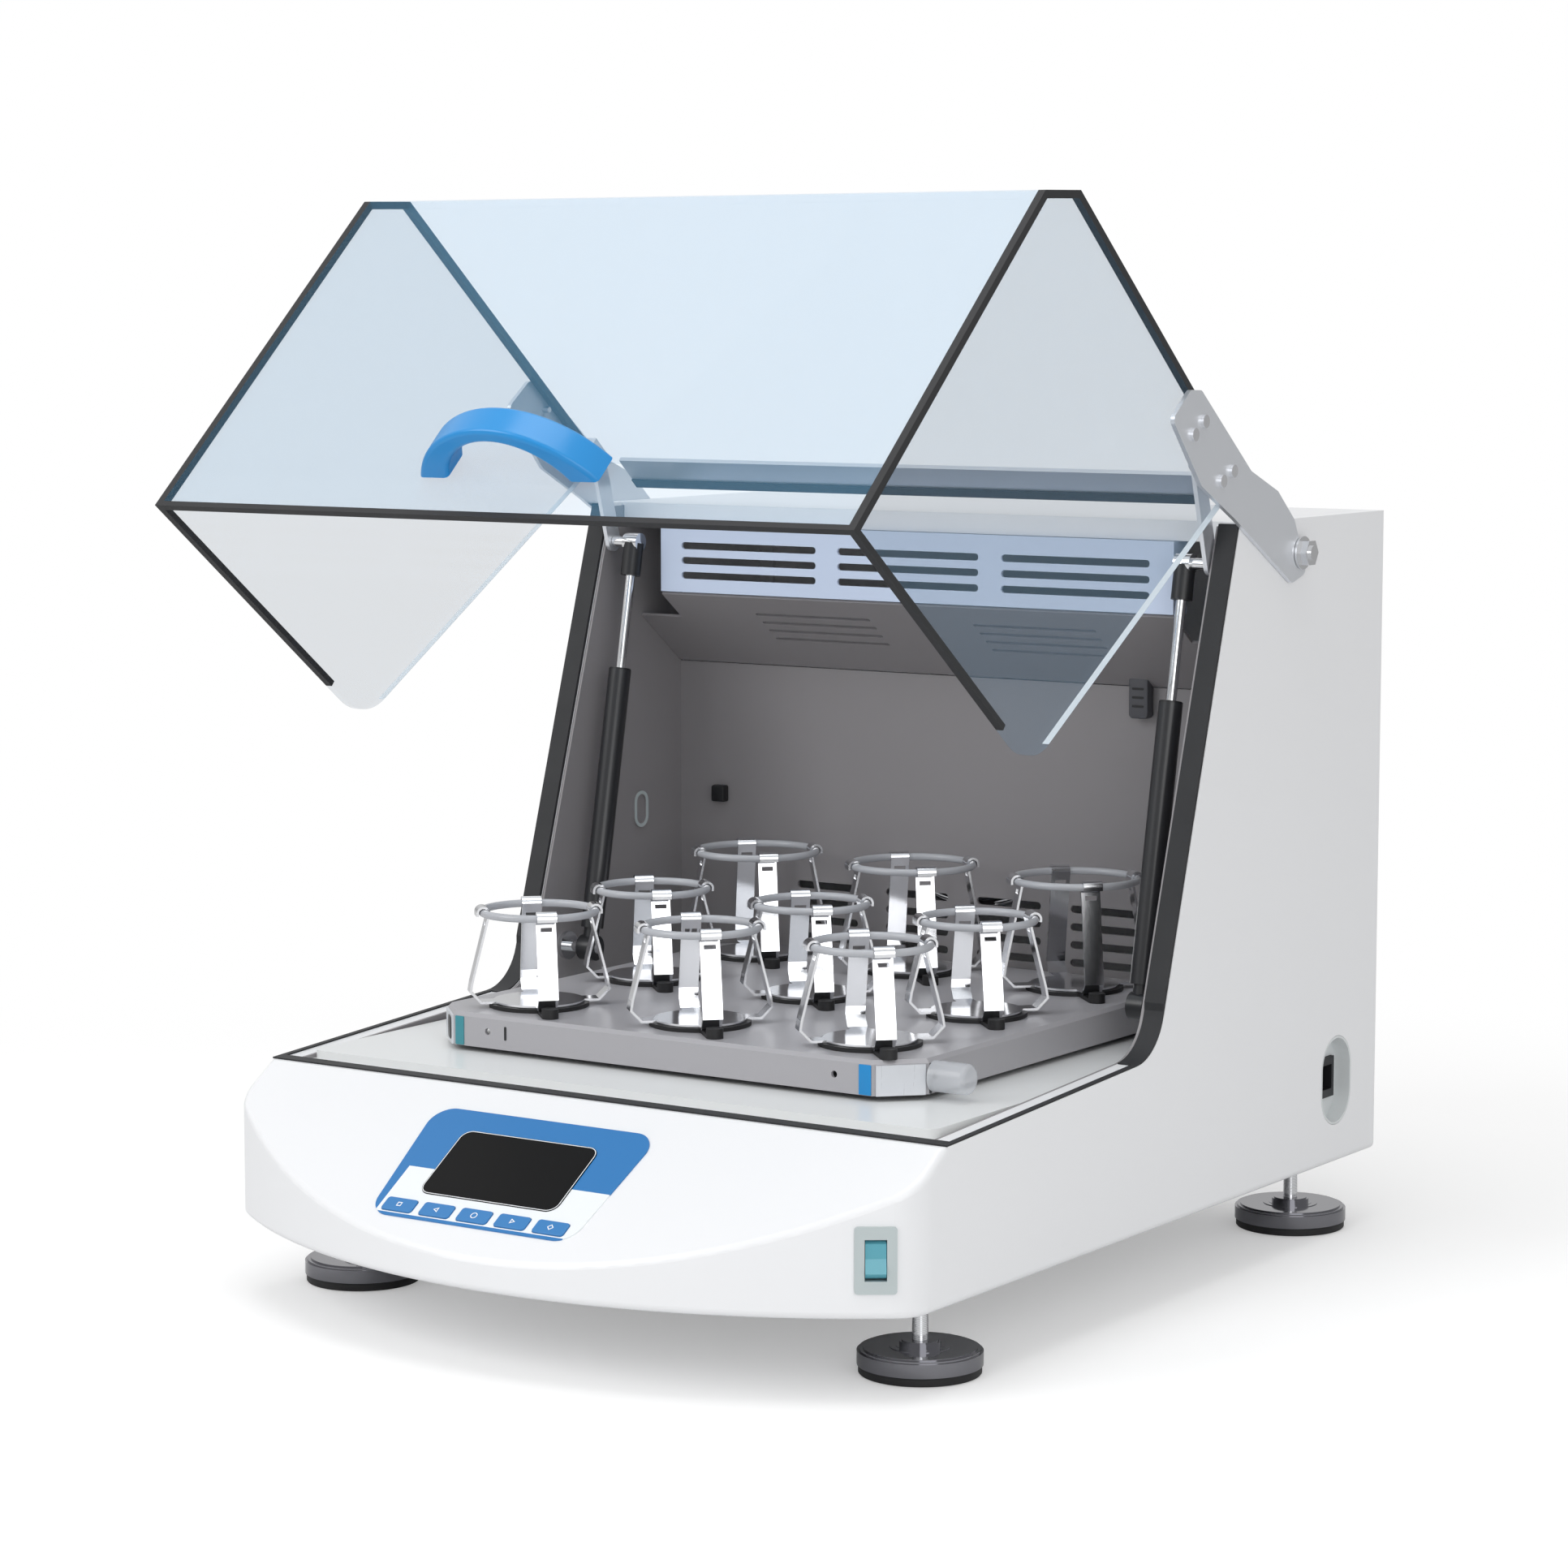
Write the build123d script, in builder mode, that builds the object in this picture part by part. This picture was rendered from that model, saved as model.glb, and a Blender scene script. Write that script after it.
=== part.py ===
"""Incubated benchtop shaker: a heated chamber with a hinged clear lid over an orbiting clamp platform.

Sizes are millimetres. The origin is under the middle of the machine, on the bench: +Z is up,
-Y is the front with the control panel, +X is the right-hand side. The lid is modelled open.
Depths are measured forward from the cabinet's rear face, heights up from its lower edge.
"""

import os
from math import asin, atan2, cos, degrees, hypot, radians, sin, sqrt, tan

from build123d import *

# ---------------------------------------------------------------- cabinet
total_depth = 690.0
casing_half_width = 260.0
casing_height = 447.0
wall = 3.0
foot_height = 52.0
nose_radius = 420.0
nose_corner_radius = 28.0
control_reach = 119.4
ledge_front_depth = total_depth - control_reach
ledge_front_height = 97.0
ledge_slope = 3.3
control_slope = 32.7
mouth_top_depth = 211.0
mouth_lean = 17.1
mouth_corner_radius = 38.0
edge_width = 15.0
crease_radius = 5.0
nose_foot_radius = 5.0
rear_flange = 12.0
nose_blank = 20.0
mouth_cut_drop = 12.0
vent_rows = 7
vent_pitch = 14.0
vent_length = 110.0
vent_width = 5.0
panel_sheet = 2.0
panel_gap = 0.3
base_plate_sheet = 4.0
base_plate_front_gap = 125.0
base_plate_depth = total_depth - base_plate_front_gap
base_plate_margin = 8.0

# ---------------------------------------------------------------- chamber
liner_sheet = 2.0
chamber_rear_depth = 128.0
tray_base_height = 94.0
tray_sheet = 2.0
tray_top_height = 102.5
tray_inset = 6.0
tray_corner_radius = 9.0
duct_front_depth = 203.0
duct_top_height = 433.2
duct_bottom_height = 385.0
duct_half_width = 207.0
duct_cheek = 18.0
cover_front_depth = 198.0
ceiling_wide_depth = 176.0
ceiling_rear_height = 331.0
slot_height = 5.0
slot_pitch = 10.5
slot_top_height = 418.0
slot_length = 114.0
slot_group_pitch = 132.0
slot_groups = 3
slot_rows = 3
louvre_length = 96.0
louvre_group_x = 90.0
louvre_width = 3.5
ceiling_louvre_pitch = 10.5
ceiling_louvre_rows = 4
ceiling_louvre_middle = 0.42
wall_louvre_length = 52.0
wall_louvre_pitch_x = 76.0
wall_louvre_pitch = 12.5
wall_louvre_height = 5.5
wall_louvre_top = 171.0
wall_louvre_columns = 4
wall_louvre_rows = 5
port_depth = 180.0
port_height = 224.0
port_width = 16.0
port_rise = 26.0
port_rim = 1.2
port_rim_width = 2.5

# ---------------------------------------------------------------- lid
open_angle = 41.0
hinge_depth = 130.0
hinge_height = 424.3
acrylic = 5.0
bracket_gap = 0.4
gasket_thickness = 2.5
ledge_seal = 1.0
ledge_seal_width = 4.0
ledge_seal_front = 9.0
ledge_seal_setback = 2.6
seal_corner_margin = 3.0
gasket_margin = 0.5
lid_gap = 0.4
lid_foot_setback = 6.6
lid_front_lean = 31.0
lid_front_top_height = 380.0
lid_bevel_reach = 31.0
lid_bevel_top_height = 408.0
lid_rear_top = (226.0, 412.9)
lid_foot_depth = ledge_front_depth - lid_foot_setback
lid_front_top = (lid_foot_depth - lid_front_lean, lid_front_top_height)
lid_bevel_top = (lid_front_top[0] - lid_bevel_reach, lid_bevel_top_height)
lid_corner_radius = 35.0
trim_width = 4.0
trim_stop = 42.0
rail_half_length = 230.0
rail_rear_depth = 213.6
rail_height = 8.4
rail_lip = 10.0
rear_seal_depth = 205.2
rear_seal_height = 7.0
rear_seal_step = 1.0
bracket_sheet = 3.0
bracket_outline = (
    (320.0, 405.0),
    (309.0, 414.0),
    (222.0, 419.0),
    (184.0, 433.0),
    (153.0, 434.0),
    (115.0, 419.5),
    (127.0, 401.0),
    (218.0, 382.0),
    (268.0, 369.0),
    (326.0, 376.0),
)
bracket_fold = 5.0
bracket_screws_at = ((294.0, 401.0), (299.0, 386.0), (243.0, 402.0), (250.0, 388.0))
pivot_radius = 5.0
pivot_fit = 0.06
pivot_flange_radius = 14.0
pivot_flange = 4.0
washer_radius = 11.0
washer = 1.5
nut_across = 16.0
nut_height = 6.0
bolt_end = 1.5
screw_radius = 2.0
screw_head_radius = 4.2
screw_head = 2.2
screw_fit = 0.05
handle_span = 134.0
handle_rise = 40.0
handle_bar = 10.0
handle_width = 22.0
handle_along = 42.0
handle_foot = 22.0
handle_rounding = 3.0

# ---------------------------------------------------------------- gas struts
strut_x = 222.0
strut_foot = (270.0, 135.5)
strut_top_open = (215.0, 420.0)
strut_cylinder_radius = 8.0
strut_neck_radius = 5.5
strut_cylinder_start = 14.0
strut_cylinder_end = 198.0
strut_rod_radius = 3.5
strut_rod_fit = 0.06
strut_rod_inside = 42.0
strut_bore_depth = 94.0
strut_eye_radius = 9.0
strut_eye_width = 12.0
strut_pin_radius = 4.0
strut_socket_radius = 6.5
strut_socket_length = 22.0
stud_base_radius = 10.0
stud_base = 3.0
arm_sheet = 3.0
arm_inner_x = 239.0
arm_radius = 7.0
arm_seat_front = 256.0
arm_seat_rear = 238.0
arm_seat_height = 12.0
seat_gap = 0.3

# ---------------------------------------------------------------- platform and drive
platform_half_width = 188.0
platform_depth = 360.0
platform_front_gap = 71.6
platform_front_depth = ledge_front_depth - platform_front_gap
platform_centre_depth = platform_front_depth - platform_depth / 2
platform_bottom_height = 106.0
platform_top_height = 128.0
platform_sheet = 2.5
platform_corner = 25.6
platform_edge = 2.5
orbit_radius = 10.0
drive_ahead = 85.0
idler_behind = 65.0
drive_depth = platform_centre_depth + drive_ahead
idler_depth = platform_centre_depth - idler_behind
idler_x = 110.0
crank_pin_radius = 8.0
crank_shaft_radius = 10.0
bearing_fit = 0.05
carrier_sheet = 5.0
carrier_margin = 30.0
boss_radius = 16.0
boss_bottom_height = 104.5
pin_top_height = 118.0
crank_web_radius = 26.0
crank_web_bottom = 61.0
crank_web_top = 70.0
crank_shaft_bottom = 22.0
motor_radius = 62.0
motor_top_height = 60.0
housing_radius = 24.0
counterweight_radius = 58.0
counterweight_sheet = 14.0
counterweight_gap = 2.0
tray_hole_margin = 3.0
front_hole_radius = 2.2
front_hole_x = 135.0
corner_plate_sheet = 1.6
corner_plate_height = 19.0
corner_plate_margin = 5.0
knob_radius = 9.75
knob_length = 26.0
knob_behind_front = 30.0
knob_depth = platform_front_depth - knob_behind_front
knob_height = 117.0
knob_shank_radius = 3.0
knob_gap = 1.4
knob_rounding = 3.0
knob_shank_inside = 6.0

# ---------------------------------------------------------------- flask clamps
clamp_pitch = 130.0
clamp_front_ahead = 131.0
clamp_middle_ahead = 3.0
clamp_rear_behind = 124.0
clamp_columns = (-clamp_pitch, 0.0, clamp_pitch)
clamp_front_rows = (
    platform_centre_depth + clamp_front_ahead,
    platform_centre_depth + clamp_middle_ahead,
)
clamp_rear_row = platform_centre_depth - clamp_rear_behind
small_ring_radius = 37.5
small_clamp_rise = 63.0
large_ring_radius = 42.0
large_clamp_rise = 75.0
ring_tube = 2.5
clamp_strip = 1.5
clamp_leg_width = 13.0
clamp_foot_radius = 46.0
clamp_pad_sheet = 3.0
clamp_pad_radius = 33.0
clamp_disc_radius = 30.0
clamp_slot_width = 8.0
clamp_slot_height = 3.0
clamp_slot_cut = 6.0
clamp_slot_drop = 9.0
clamp_legs = 4
leg_overlap = 2.0
leg_bend = 7.0
leg_bend_height = 8.0
leg_lean_height = 14.0
leg_lean = 1.0
hook_tip = 2.0
bump_radius = 5.5
bump_height = 6.5
bump_gap = 1.2

# ---------------------------------------------------------------- controls
panel_centre_x = -18.0
overlay_top = 22.0
overlay_bottom = 118.0
overlay_top_width = 172.0
overlay_bottom_width = 154.0
overlay_corner = 15.0
overlay_sheet = 0.8
screen_width = 105.0
screen_height = 57.0
screen_centre = 68.0
screen_proud = 0.5
screen_fit = 0.15
screen_corner = 8.0
screen_frame = 4.0
screen_frame_margin = 3.0
key_count = 5
key_pitch = 29.0
key_width = 23.4
key_height = 11.0
key_centre = 109.0
key_proud = 1.8
key_flange = 1.2
key_flange_overhang = 1.6
key_clearance = 0.3
key_corner = 2.2
key_rounding = 0.6
switch_x = 240.0
switch_height = 36.0
bezel_width = 25.0
bezel_height = 40.0
bezel_rim = 1.5
bezel_seat = 0.05
bezel_corner = 2.0
bezel_back = 2.0
switch_body_width = 21.0
switch_body_height = 35.0
switch_body_depth = 24.0
rocker_width = 12.4
rocker_radius = 12.0
rocker_pivot = 6.0
rocker_crown = 7.0
rocker_tilt = 8.0
rocker_fit = 0.35

# ---------------------------------------------------------------- power inlet
inlet_depth = 60.0
inlet_height = 58.0
cup_width = 45.0
cup_height = 62.0
cup_wall = 1.5
cup_depth = 13.0
inlet_face = 9.5
inlet_width = 31.0
inlet_rise = 28.0
inlet_length = 24.0
socket_width = 24.0
socket_rise = 17.0
socket_depth = 16.0
contact_length = 10.0
contact_pitch = 7.0
contact_offset = 2.0
contact_sheet = 2.0
contact_width = 5.0

# ---------------------------------------------------------------- feet
foot_x = 217.0
foot_rear_depth = 42.0
foot_front_gap = 161.0
foot_front_depth = total_depth - foot_front_gap
foot_radius = 38.5
foot_disc = 12.0
foot_chamfer = 3.0
sole_radius = 37.5
sole_height = 5.0
stud_radius = 5.0
stud_fit = 0.06
stud_top_height = 20.0
lock_nut_height = 7.0

# ---------------------------------------------------------------- inside the rear compartment
fan_height = 250.0
fan_motor_radius = 32.0
fan_motor_front = 72.0
fan_rear_depth = 78.0
fan_front_depth = 110.0
fan_radius = 62.0
fan_hub_radius = 16.0
fan_shaft_radius = 4.0
fan_blades = 8
fan_blade_sheet = 2.0
fan_blade_overlap = 2.0
fan_shaft_inside = 10.0
fan_shaft_end_gap = 4.0
heater_radius = 84.0
heater_tube = 4.0
heater_stem = 3.0
heater_depth = 112.0
supply_x = 125.0
supply_width = 120.0
supply_length = 85.0
supply_rise = 52.0
supply_depth = 72.0
board_front_gap = 86.0
board_depth = total_depth - board_front_gap
board_width = 170.0
board_length = 46.0
board_height = 16.0
board_sheet = 1.6
board_post_radius = 3.0
board_post_inset_x = 6.0
board_post_inset_y = 5.0
chip_count = 3
chip_pitch = 44.0
chip_width = 26.0
chip_length = 24.0
chip_height = 7.0

# ---------------------------------------------------------------- places
rear_y = total_depth / 2
mouth_half_width = casing_half_width - edge_width
liner_inner_x = mouth_half_width - liner_sheet
lid_outer_x = casing_half_width + bracket_gap
lid_inner_x = lid_outer_x - acrylic
nose_side_depth = total_depth - nose_radius + sqrt(nose_radius**2 - casing_half_width**2)
seal_offset = gasket_thickness + lid_gap

os.makedirs("parts", exist_ok=True)


def ahead(depth):
    """The Y of a place that far forward of the rear face."""
    return rear_y - depth


def up(height):
    """The Z of a place that far above the cabinet's lower edge."""
    return foot_height + height


def at(depth, height):
    """A point of the cabinet's side view."""
    return (ahead(depth), up(height))


def shifted(line, distance):
    """A line of a side view moved to its own left."""
    (x0, y0), (x1, y1) = line
    length = hypot(x1 - x0, y1 - y0)
    dx = -(y1 - y0) * distance / length
    dy = (x1 - x0) * distance / length
    return ((x0 + dx, y0 + dy), (x1 + dx, y1 + dy))


def crossing(first, second):
    """The point where two lines of a side view meet."""
    (ax, ay), (bx, by) = first
    (cx, cy), (dx, dy) = second
    turn = (bx - ax) * (dy - cy) - (by - ay) * (dx - cx)
    along = ((cx - ax) * (dy - cy) - (cy - ay) * (dx - cx)) / turn
    return (ax + along * (bx - ax), ay + along * (by - ay))


def turned(point, angle):
    """A point of the side view after the lid has swung up by an angle about its hinge."""
    forward = point[0] - hinge_depth
    above = point[1] - hinge_height
    c = cos(radians(angle))
    s = sin(radians(angle))
    return (hinge_depth + forward * c - above * s, hinge_height + above * c + forward * s)


def save(piece, name):
    """Names a finished piece and writes it."""
    piece.part.label = name
    export_step(piece.part, f"parts/{name}.step")


def save_group(pieces, name):
    """Writes pieces that are fixed to each other as the separate solids of one file."""
    group = Compound(children=[piece.part for piece in pieces], label=name)
    export_step(group, f"parts/{name}.step")


def mirrored_x(values):
    """Each value to the right and to the left of the middle."""
    return [side * value for value in values for side in (1, -1)]


# The mouth of the chamber: a steep edge at the rear and an almost level ledge at the front.
mouth_run = tan(radians(mouth_lean))
ledge_rise = tan(radians(ledge_slope))
steep_line = (
    (mouth_top_depth, casing_height),
    (mouth_top_depth + mouth_run * casing_height, 0.0),
)
ledge_line = (
    (ledge_front_depth, ledge_front_height),
    (0.0, ledge_front_height + ledge_rise * ledge_front_depth),
)
mouth_corner = crossing(steep_line, ledge_line)
nose_reach = total_depth + nose_blank
nose_reach_drop = (nose_reach - ledge_front_depth) * tan(radians(control_slope))


def side_profile(inset):
    """The cabinet's side view, pulled in by a wall."""
    with BuildSketch(Plane.YZ) as profile:
        with BuildLine():
            Polyline(
                at(0.0, 0.0),
                at(0.0, casing_height),
                at(*steep_line[0]),
                at(*mouth_corner),
                at(*ledge_line[0]),
                at(nose_reach, ledge_front_height - nose_reach_drop),
                at(nose_reach, 0.0),
                close=True,
            )
        make_face()
        corner = profile.vertices().sort_by_distance(Vector(*at(*mouth_corner), 0))[0]
        fillet(corner, mouth_corner_radius)
        if inset:
            offset(amount=-inset, kind=Kind.INTERSECTION)
    return profile.sketch_local


def plan_profile(inset):
    """The cabinet seen from above: straight sides and a bowed front."""
    side_y = ahead(nose_side_depth)
    with BuildSketch() as profile:
        with BuildLine():
            Polyline(
                (casing_half_width, side_y),
                (casing_half_width, rear_y),
                (-casing_half_width, rear_y),
                (-casing_half_width, side_y),
            )
            ThreePointArc(
                (-casing_half_width, side_y),
                (0.0, ahead(total_depth)),
                (casing_half_width, side_y),
            )
        make_face()
        fillet(profile.vertices().group_by(Axis.Y)[0], nose_corner_radius)
        if inset:
            offset(amount=-inset, kind=Kind.INTERSECTION)
    return profile.sketch_local


def cabinet_form(inset):
    """The cabinet's outer form, or the space inside its wall."""
    with BuildPart() as form:
        with BuildSketch(Plane.YZ):
            add(side_profile(inset))
        extrude(amount=casing_half_width - inset, both=True)
        with BuildSketch(Plane.XY.offset(up(0.0))):
            add(plan_profile(inset))
        extrude(amount=casing_height, mode=Mode.INTERSECT)
    return form.part


# The control slope and the power switch each have a plane of their own.
control_plane = Plane(
    origin=(0.0, *at(ledge_front_depth, ledge_front_height)),
    x_dir=(1, 0, 0),
    z_dir=(0, -sin(radians(control_slope)), cos(radians(control_slope))),
)
switch_turn = degrees(asin(switch_x / nose_radius))
switch_depth = total_depth - nose_radius + nose_radius * cos(radians(switch_turn))
switch_plane = Plane(
    origin=(switch_x, ahead(switch_depth), up(switch_height)),
    x_dir=(cos(radians(switch_turn)), sin(radians(switch_turn)), 0),
    z_dir=(sin(radians(switch_turn)), -cos(radians(switch_turn)), 0),
)
inlet_plane = Plane(
    origin=(casing_half_width, *at(inlet_depth, inlet_height)),
    x_dir=(0, 1, 0),
    z_dir=(1, 0, 0),
)
key_places = [
    (panel_centre_x + key_pitch * (i - (key_count - 1) / 2), -key_centre) for i in range(key_count)
]
foot_places = [
    (side * foot_x, ahead(depth)) for depth in (foot_front_depth, foot_rear_depth) for side in (-1, 1)
]
screen_hole_width = screen_width + 2 * screen_fit
screen_hole_height = screen_height + 2 * screen_fit
key_hole_width = key_width + 2 * key_clearance
key_hole_height = key_height + 2 * key_clearance
key_hole_corner = key_corner + key_clearance

# ================================================================ cabinet
with BuildPart() as outer_casing:
    add(cabinet_form(0.0))
    slope = [f for f in outer_casing.faces() if f.normal_at().dot(control_plane.z_dir) > 0.9999][0]
    fillet(slope.edges().sort_by(Axis.Z)[:1], crease_radius)
    foot_line = outer_casing.edges().group_by(Axis.Z)[0].sort_by(Axis.Y)[:1]
    fillet(foot_line, nose_foot_radius)
    add(cabinet_form(wall), mode=Mode.SUBTRACT)
    # The mouth, with the space for the top cover behind it.
    with BuildSketch(Plane.XY.offset(up(ledge_front_height - mouth_cut_drop))):
        with Locations((0.0, (ahead(rear_flange) + ahead(ledge_front_depth - edge_width)) / 2)):
            Rectangle(2 * mouth_half_width, ledge_front_depth - edge_width - rear_flange)
    extrude(amount=casing_height, mode=Mode.SUBTRACT)
    # The open back, and the flange that the rear panel is screwed to.
    with BuildSketch(Plane.XZ.offset(-rear_y)):
        with Locations((0.0, up(casing_height / 2))):
            Rectangle(2 * (casing_half_width - wall), casing_height - 2 * wall)
    extrude(amount=wall, mode=Mode.SUBTRACT)
    with BuildSketch(Plane.XZ.offset(-rear_y + panel_sheet)):
        with Locations((0.0, up(casing_height / 2))):
            Rectangle(2 * (casing_half_width - wall), casing_height - 2 * wall)
            Rectangle(
                2 * (casing_half_width - wall - rear_flange),
                casing_height - 2 * (wall + rear_flange),
                mode=Mode.SUBTRACT,
            )
    extrude(amount=wall)
    # Holes: feet, hinge pivots, inlet cup, display, keys and power switch.
    with BuildSketch(Plane.XY.offset(up(0.0))):
        with Locations(*foot_places):
            Circle(stud_radius + stud_fit)
    extrude(amount=wall, mode=Mode.SUBTRACT)
    with BuildSketch(Plane.YZ.offset(-casing_half_width)):
        with Locations(at(hinge_depth, hinge_height)):
            Circle(pivot_radius + pivot_fit)
    extrude(amount=2 * casing_half_width, mode=Mode.SUBTRACT)
    with BuildSketch(inlet_plane):
        SlotCenterToCenter(cup_height - cup_width, cup_width, rotation=90)
    extrude(amount=-wall, mode=Mode.SUBTRACT)
    with BuildSketch(control_plane):
        with Locations((panel_centre_x, -screen_centre)):
            RectangleRounded(screen_hole_width, screen_hole_height, screen_corner)
        with Locations(*key_places):
            RectangleRounded(key_hole_width, key_hole_height, key_hole_corner)
    extrude(amount=-2 * wall, mode=Mode.SUBTRACT)
    with BuildSketch(switch_plane.offset(wall)):
        Rectangle(switch_body_width + 2 * panel_gap, switch_body_height + 2 * panel_gap)
    extrude(amount=-4 * wall, mode=Mode.SUBTRACT)
save(outer_casing, "outer_casing")

with BuildPart() as rear_panel:
    with BuildSketch(Plane.XZ.offset(-rear_y)):
        with Locations((0.0, up(casing_height / 2))):
            Rectangle(
                2 * (casing_half_width - wall - panel_gap), casing_height - 2 * (wall + panel_gap)
            )
        with Locations((0.0, up(fan_height))):
            with GridLocations(0.0, vent_pitch, 1, vent_rows):
                SlotOverall(vent_length, vent_width, mode=Mode.SUBTRACT)
    extrude(amount=panel_sheet)
save(rear_panel, "rear_panel")

with BuildPart() as base_plate:
    with BuildSketch(Plane.XY.offset(up(wall))):
        with Locations((0.0, ahead((base_plate_depth + base_plate_margin) / 2))):
            Rectangle(
                2 * (casing_half_width - base_plate_margin), base_plate_depth - base_plate_margin
            )
        with Locations(*foot_places):
            Circle(stud_radius + stud_fit, mode=Mode.SUBTRACT)
    extrude(amount=base_plate_sheet)
save(base_plate, "base_plate")

with BuildPart() as top_cover:
    with BuildSketch(Plane.XY.offset(up(casing_height - panel_sheet))):
        with Locations((0.0, ahead((rear_flange + panel_gap + cover_front_depth) / 2))):
            Rectangle(
                2 * (mouth_half_width - panel_gap), cover_front_depth - rear_flange - panel_gap
            )
    extrude(amount=panel_sheet)
    # The apron turned down at the front, over the top of the air duct.
    with BuildSketch(Plane.XZ.offset(-ahead(cover_front_depth))):
        apron_height = casing_height - duct_top_height - panel_gap
        with Locations((0.0, up(casing_height - apron_height / 2))):
            Rectangle(2 * (liner_inner_x - panel_gap), apron_height)
    extrude(amount=-panel_sheet)
save(top_cover, "top_cover")

with BuildPart() as duct_panel:
    with BuildSketch(Plane.XZ.offset(-ahead(duct_front_depth))):
        with Locations((0.0, up((duct_top_height + duct_bottom_height) / 2))):
            Rectangle(2 * duct_half_width, duct_top_height - duct_bottom_height)
        with Locations((0.0, up(slot_top_height - slot_pitch))):
            with GridLocations(slot_group_pitch, slot_pitch, slot_groups, slot_rows):
                SlotOverall(slot_length, slot_height, mode=Mode.SUBTRACT)
    extrude(amount=-panel_sheet)
    # The flange under the top cover's apron, and the cheeks that close the duct's ends.
    with BuildSketch(Plane.XY.offset(up(duct_top_height))):
        with Locations((0.0, ahead(duct_front_depth - duct_cheek / 2))):
            Rectangle(2 * duct_half_width, duct_cheek)
    extrude(amount=-panel_sheet)
    with BuildSketch(Plane.XZ.offset(-ahead(duct_front_depth))):
        for x in mirrored_x([duct_half_width - panel_sheet / 2]):
            with Locations((x, up((duct_top_height + duct_bottom_height) / 2))):
                Rectangle(panel_sheet, duct_top_height - duct_bottom_height)
    extrude(amount=-duct_cheek)
save(duct_panel, "duct_panel")

ceiling_drop = duct_bottom_height - ceiling_rear_height
ceiling_run = duct_front_depth - panel_sheet - chamber_rear_depth
ceiling_pitch = degrees(atan2(ceiling_drop, ceiling_run))
ceiling_length = hypot(ceiling_drop, ceiling_run)
ceiling_wide = (ceiling_wide_depth - chamber_rear_depth) / cos(radians(ceiling_pitch))
ceiling_plane = Plane(
    origin=(0.0, *at(duct_front_depth - panel_sheet, duct_bottom_height - panel_gap)),
    x_dir=(1, 0, 0),
    z_dir=(0, sin(radians(ceiling_pitch)), cos(radians(ceiling_pitch))),
)
with BuildPart() as ceiling_panel:
    with BuildSketch(ceiling_plane):
        with Locations((0.0, ceiling_length / 2)):
            Rectangle(2 * duct_half_width, ceiling_length - 2 * panel_gap)
        with Locations((0.0, ceiling_length - ceiling_wide / 2 - panel_gap)):
            Rectangle(2 * (liner_inner_x - panel_gap), ceiling_wide)
        for x in mirrored_x([louvre_group_x]):
            with Locations((x, ceiling_louvre_middle * ceiling_length)):
                with GridLocations(0.0, ceiling_louvre_pitch, 1, ceiling_louvre_rows):
                    SlotOverall(louvre_length, louvre_width, mode=Mode.SUBTRACT)
    extrude(amount=-panel_sheet)
save(ceiling_panel, "ceiling_panel")

with BuildPart() as chamber_liner:
    for x in (liner_inner_x, -mouth_half_width):
        with BuildSketch(Plane.YZ.offset(x)):
            add(side_profile(0.0))
            with BuildLine():
                Polyline(
                    at(chamber_rear_depth - liner_sheet, tray_base_height - tray_sheet),
                    at(ledge_front_depth - edge_width, tray_base_height - tray_sheet),
                    at(ledge_front_depth - edge_width, casing_height - panel_sheet - panel_gap),
                    at(chamber_rear_depth - liner_sheet, casing_height - panel_sheet - panel_gap),
                    close=True,
                )
            make_face(mode=Mode.INTERSECT)
        extrude(amount=liner_sheet)
    with BuildSketch(Plane.XZ.offset(-ahead(chamber_rear_depth - liner_sheet))):
        liner_top = ceiling_rear_height - panel_sheet / cos(radians(ceiling_pitch))
        wall_height = liner_top - tray_base_height + tray_sheet
        with Locations((0.0, up(liner_top - wall_height / 2))):
            Rectangle(2 * liner_inner_x, wall_height)
        louvre_middle = wall_louvre_top - wall_louvre_pitch * (wall_louvre_rows - 1) / 2
        with Locations((0.0, up(louvre_middle))):
            with GridLocations(
                wall_louvre_pitch_x, wall_louvre_pitch, wall_louvre_columns, wall_louvre_rows
            ):
                SlotOverall(wall_louvre_length, wall_louvre_height, mode=Mode.SUBTRACT)
    extrude(amount=liner_sheet)
    # The rim of the probe port, pressed proud of the left wall.
    with BuildSketch(Plane.YZ.offset(-liner_inner_x)):
        with Locations(at(port_depth, port_height)):
            SlotCenterToCenter(port_rise - port_width, port_width, rotation=90)
            SlotCenterToCenter(
                port_rise - port_width,
                port_width - 2 * port_rim_width,
                rotation=90,
                mode=Mode.SUBTRACT,
            )
    extrude(amount=port_rim)
save(chamber_liner, "chamber_liner")

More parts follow.
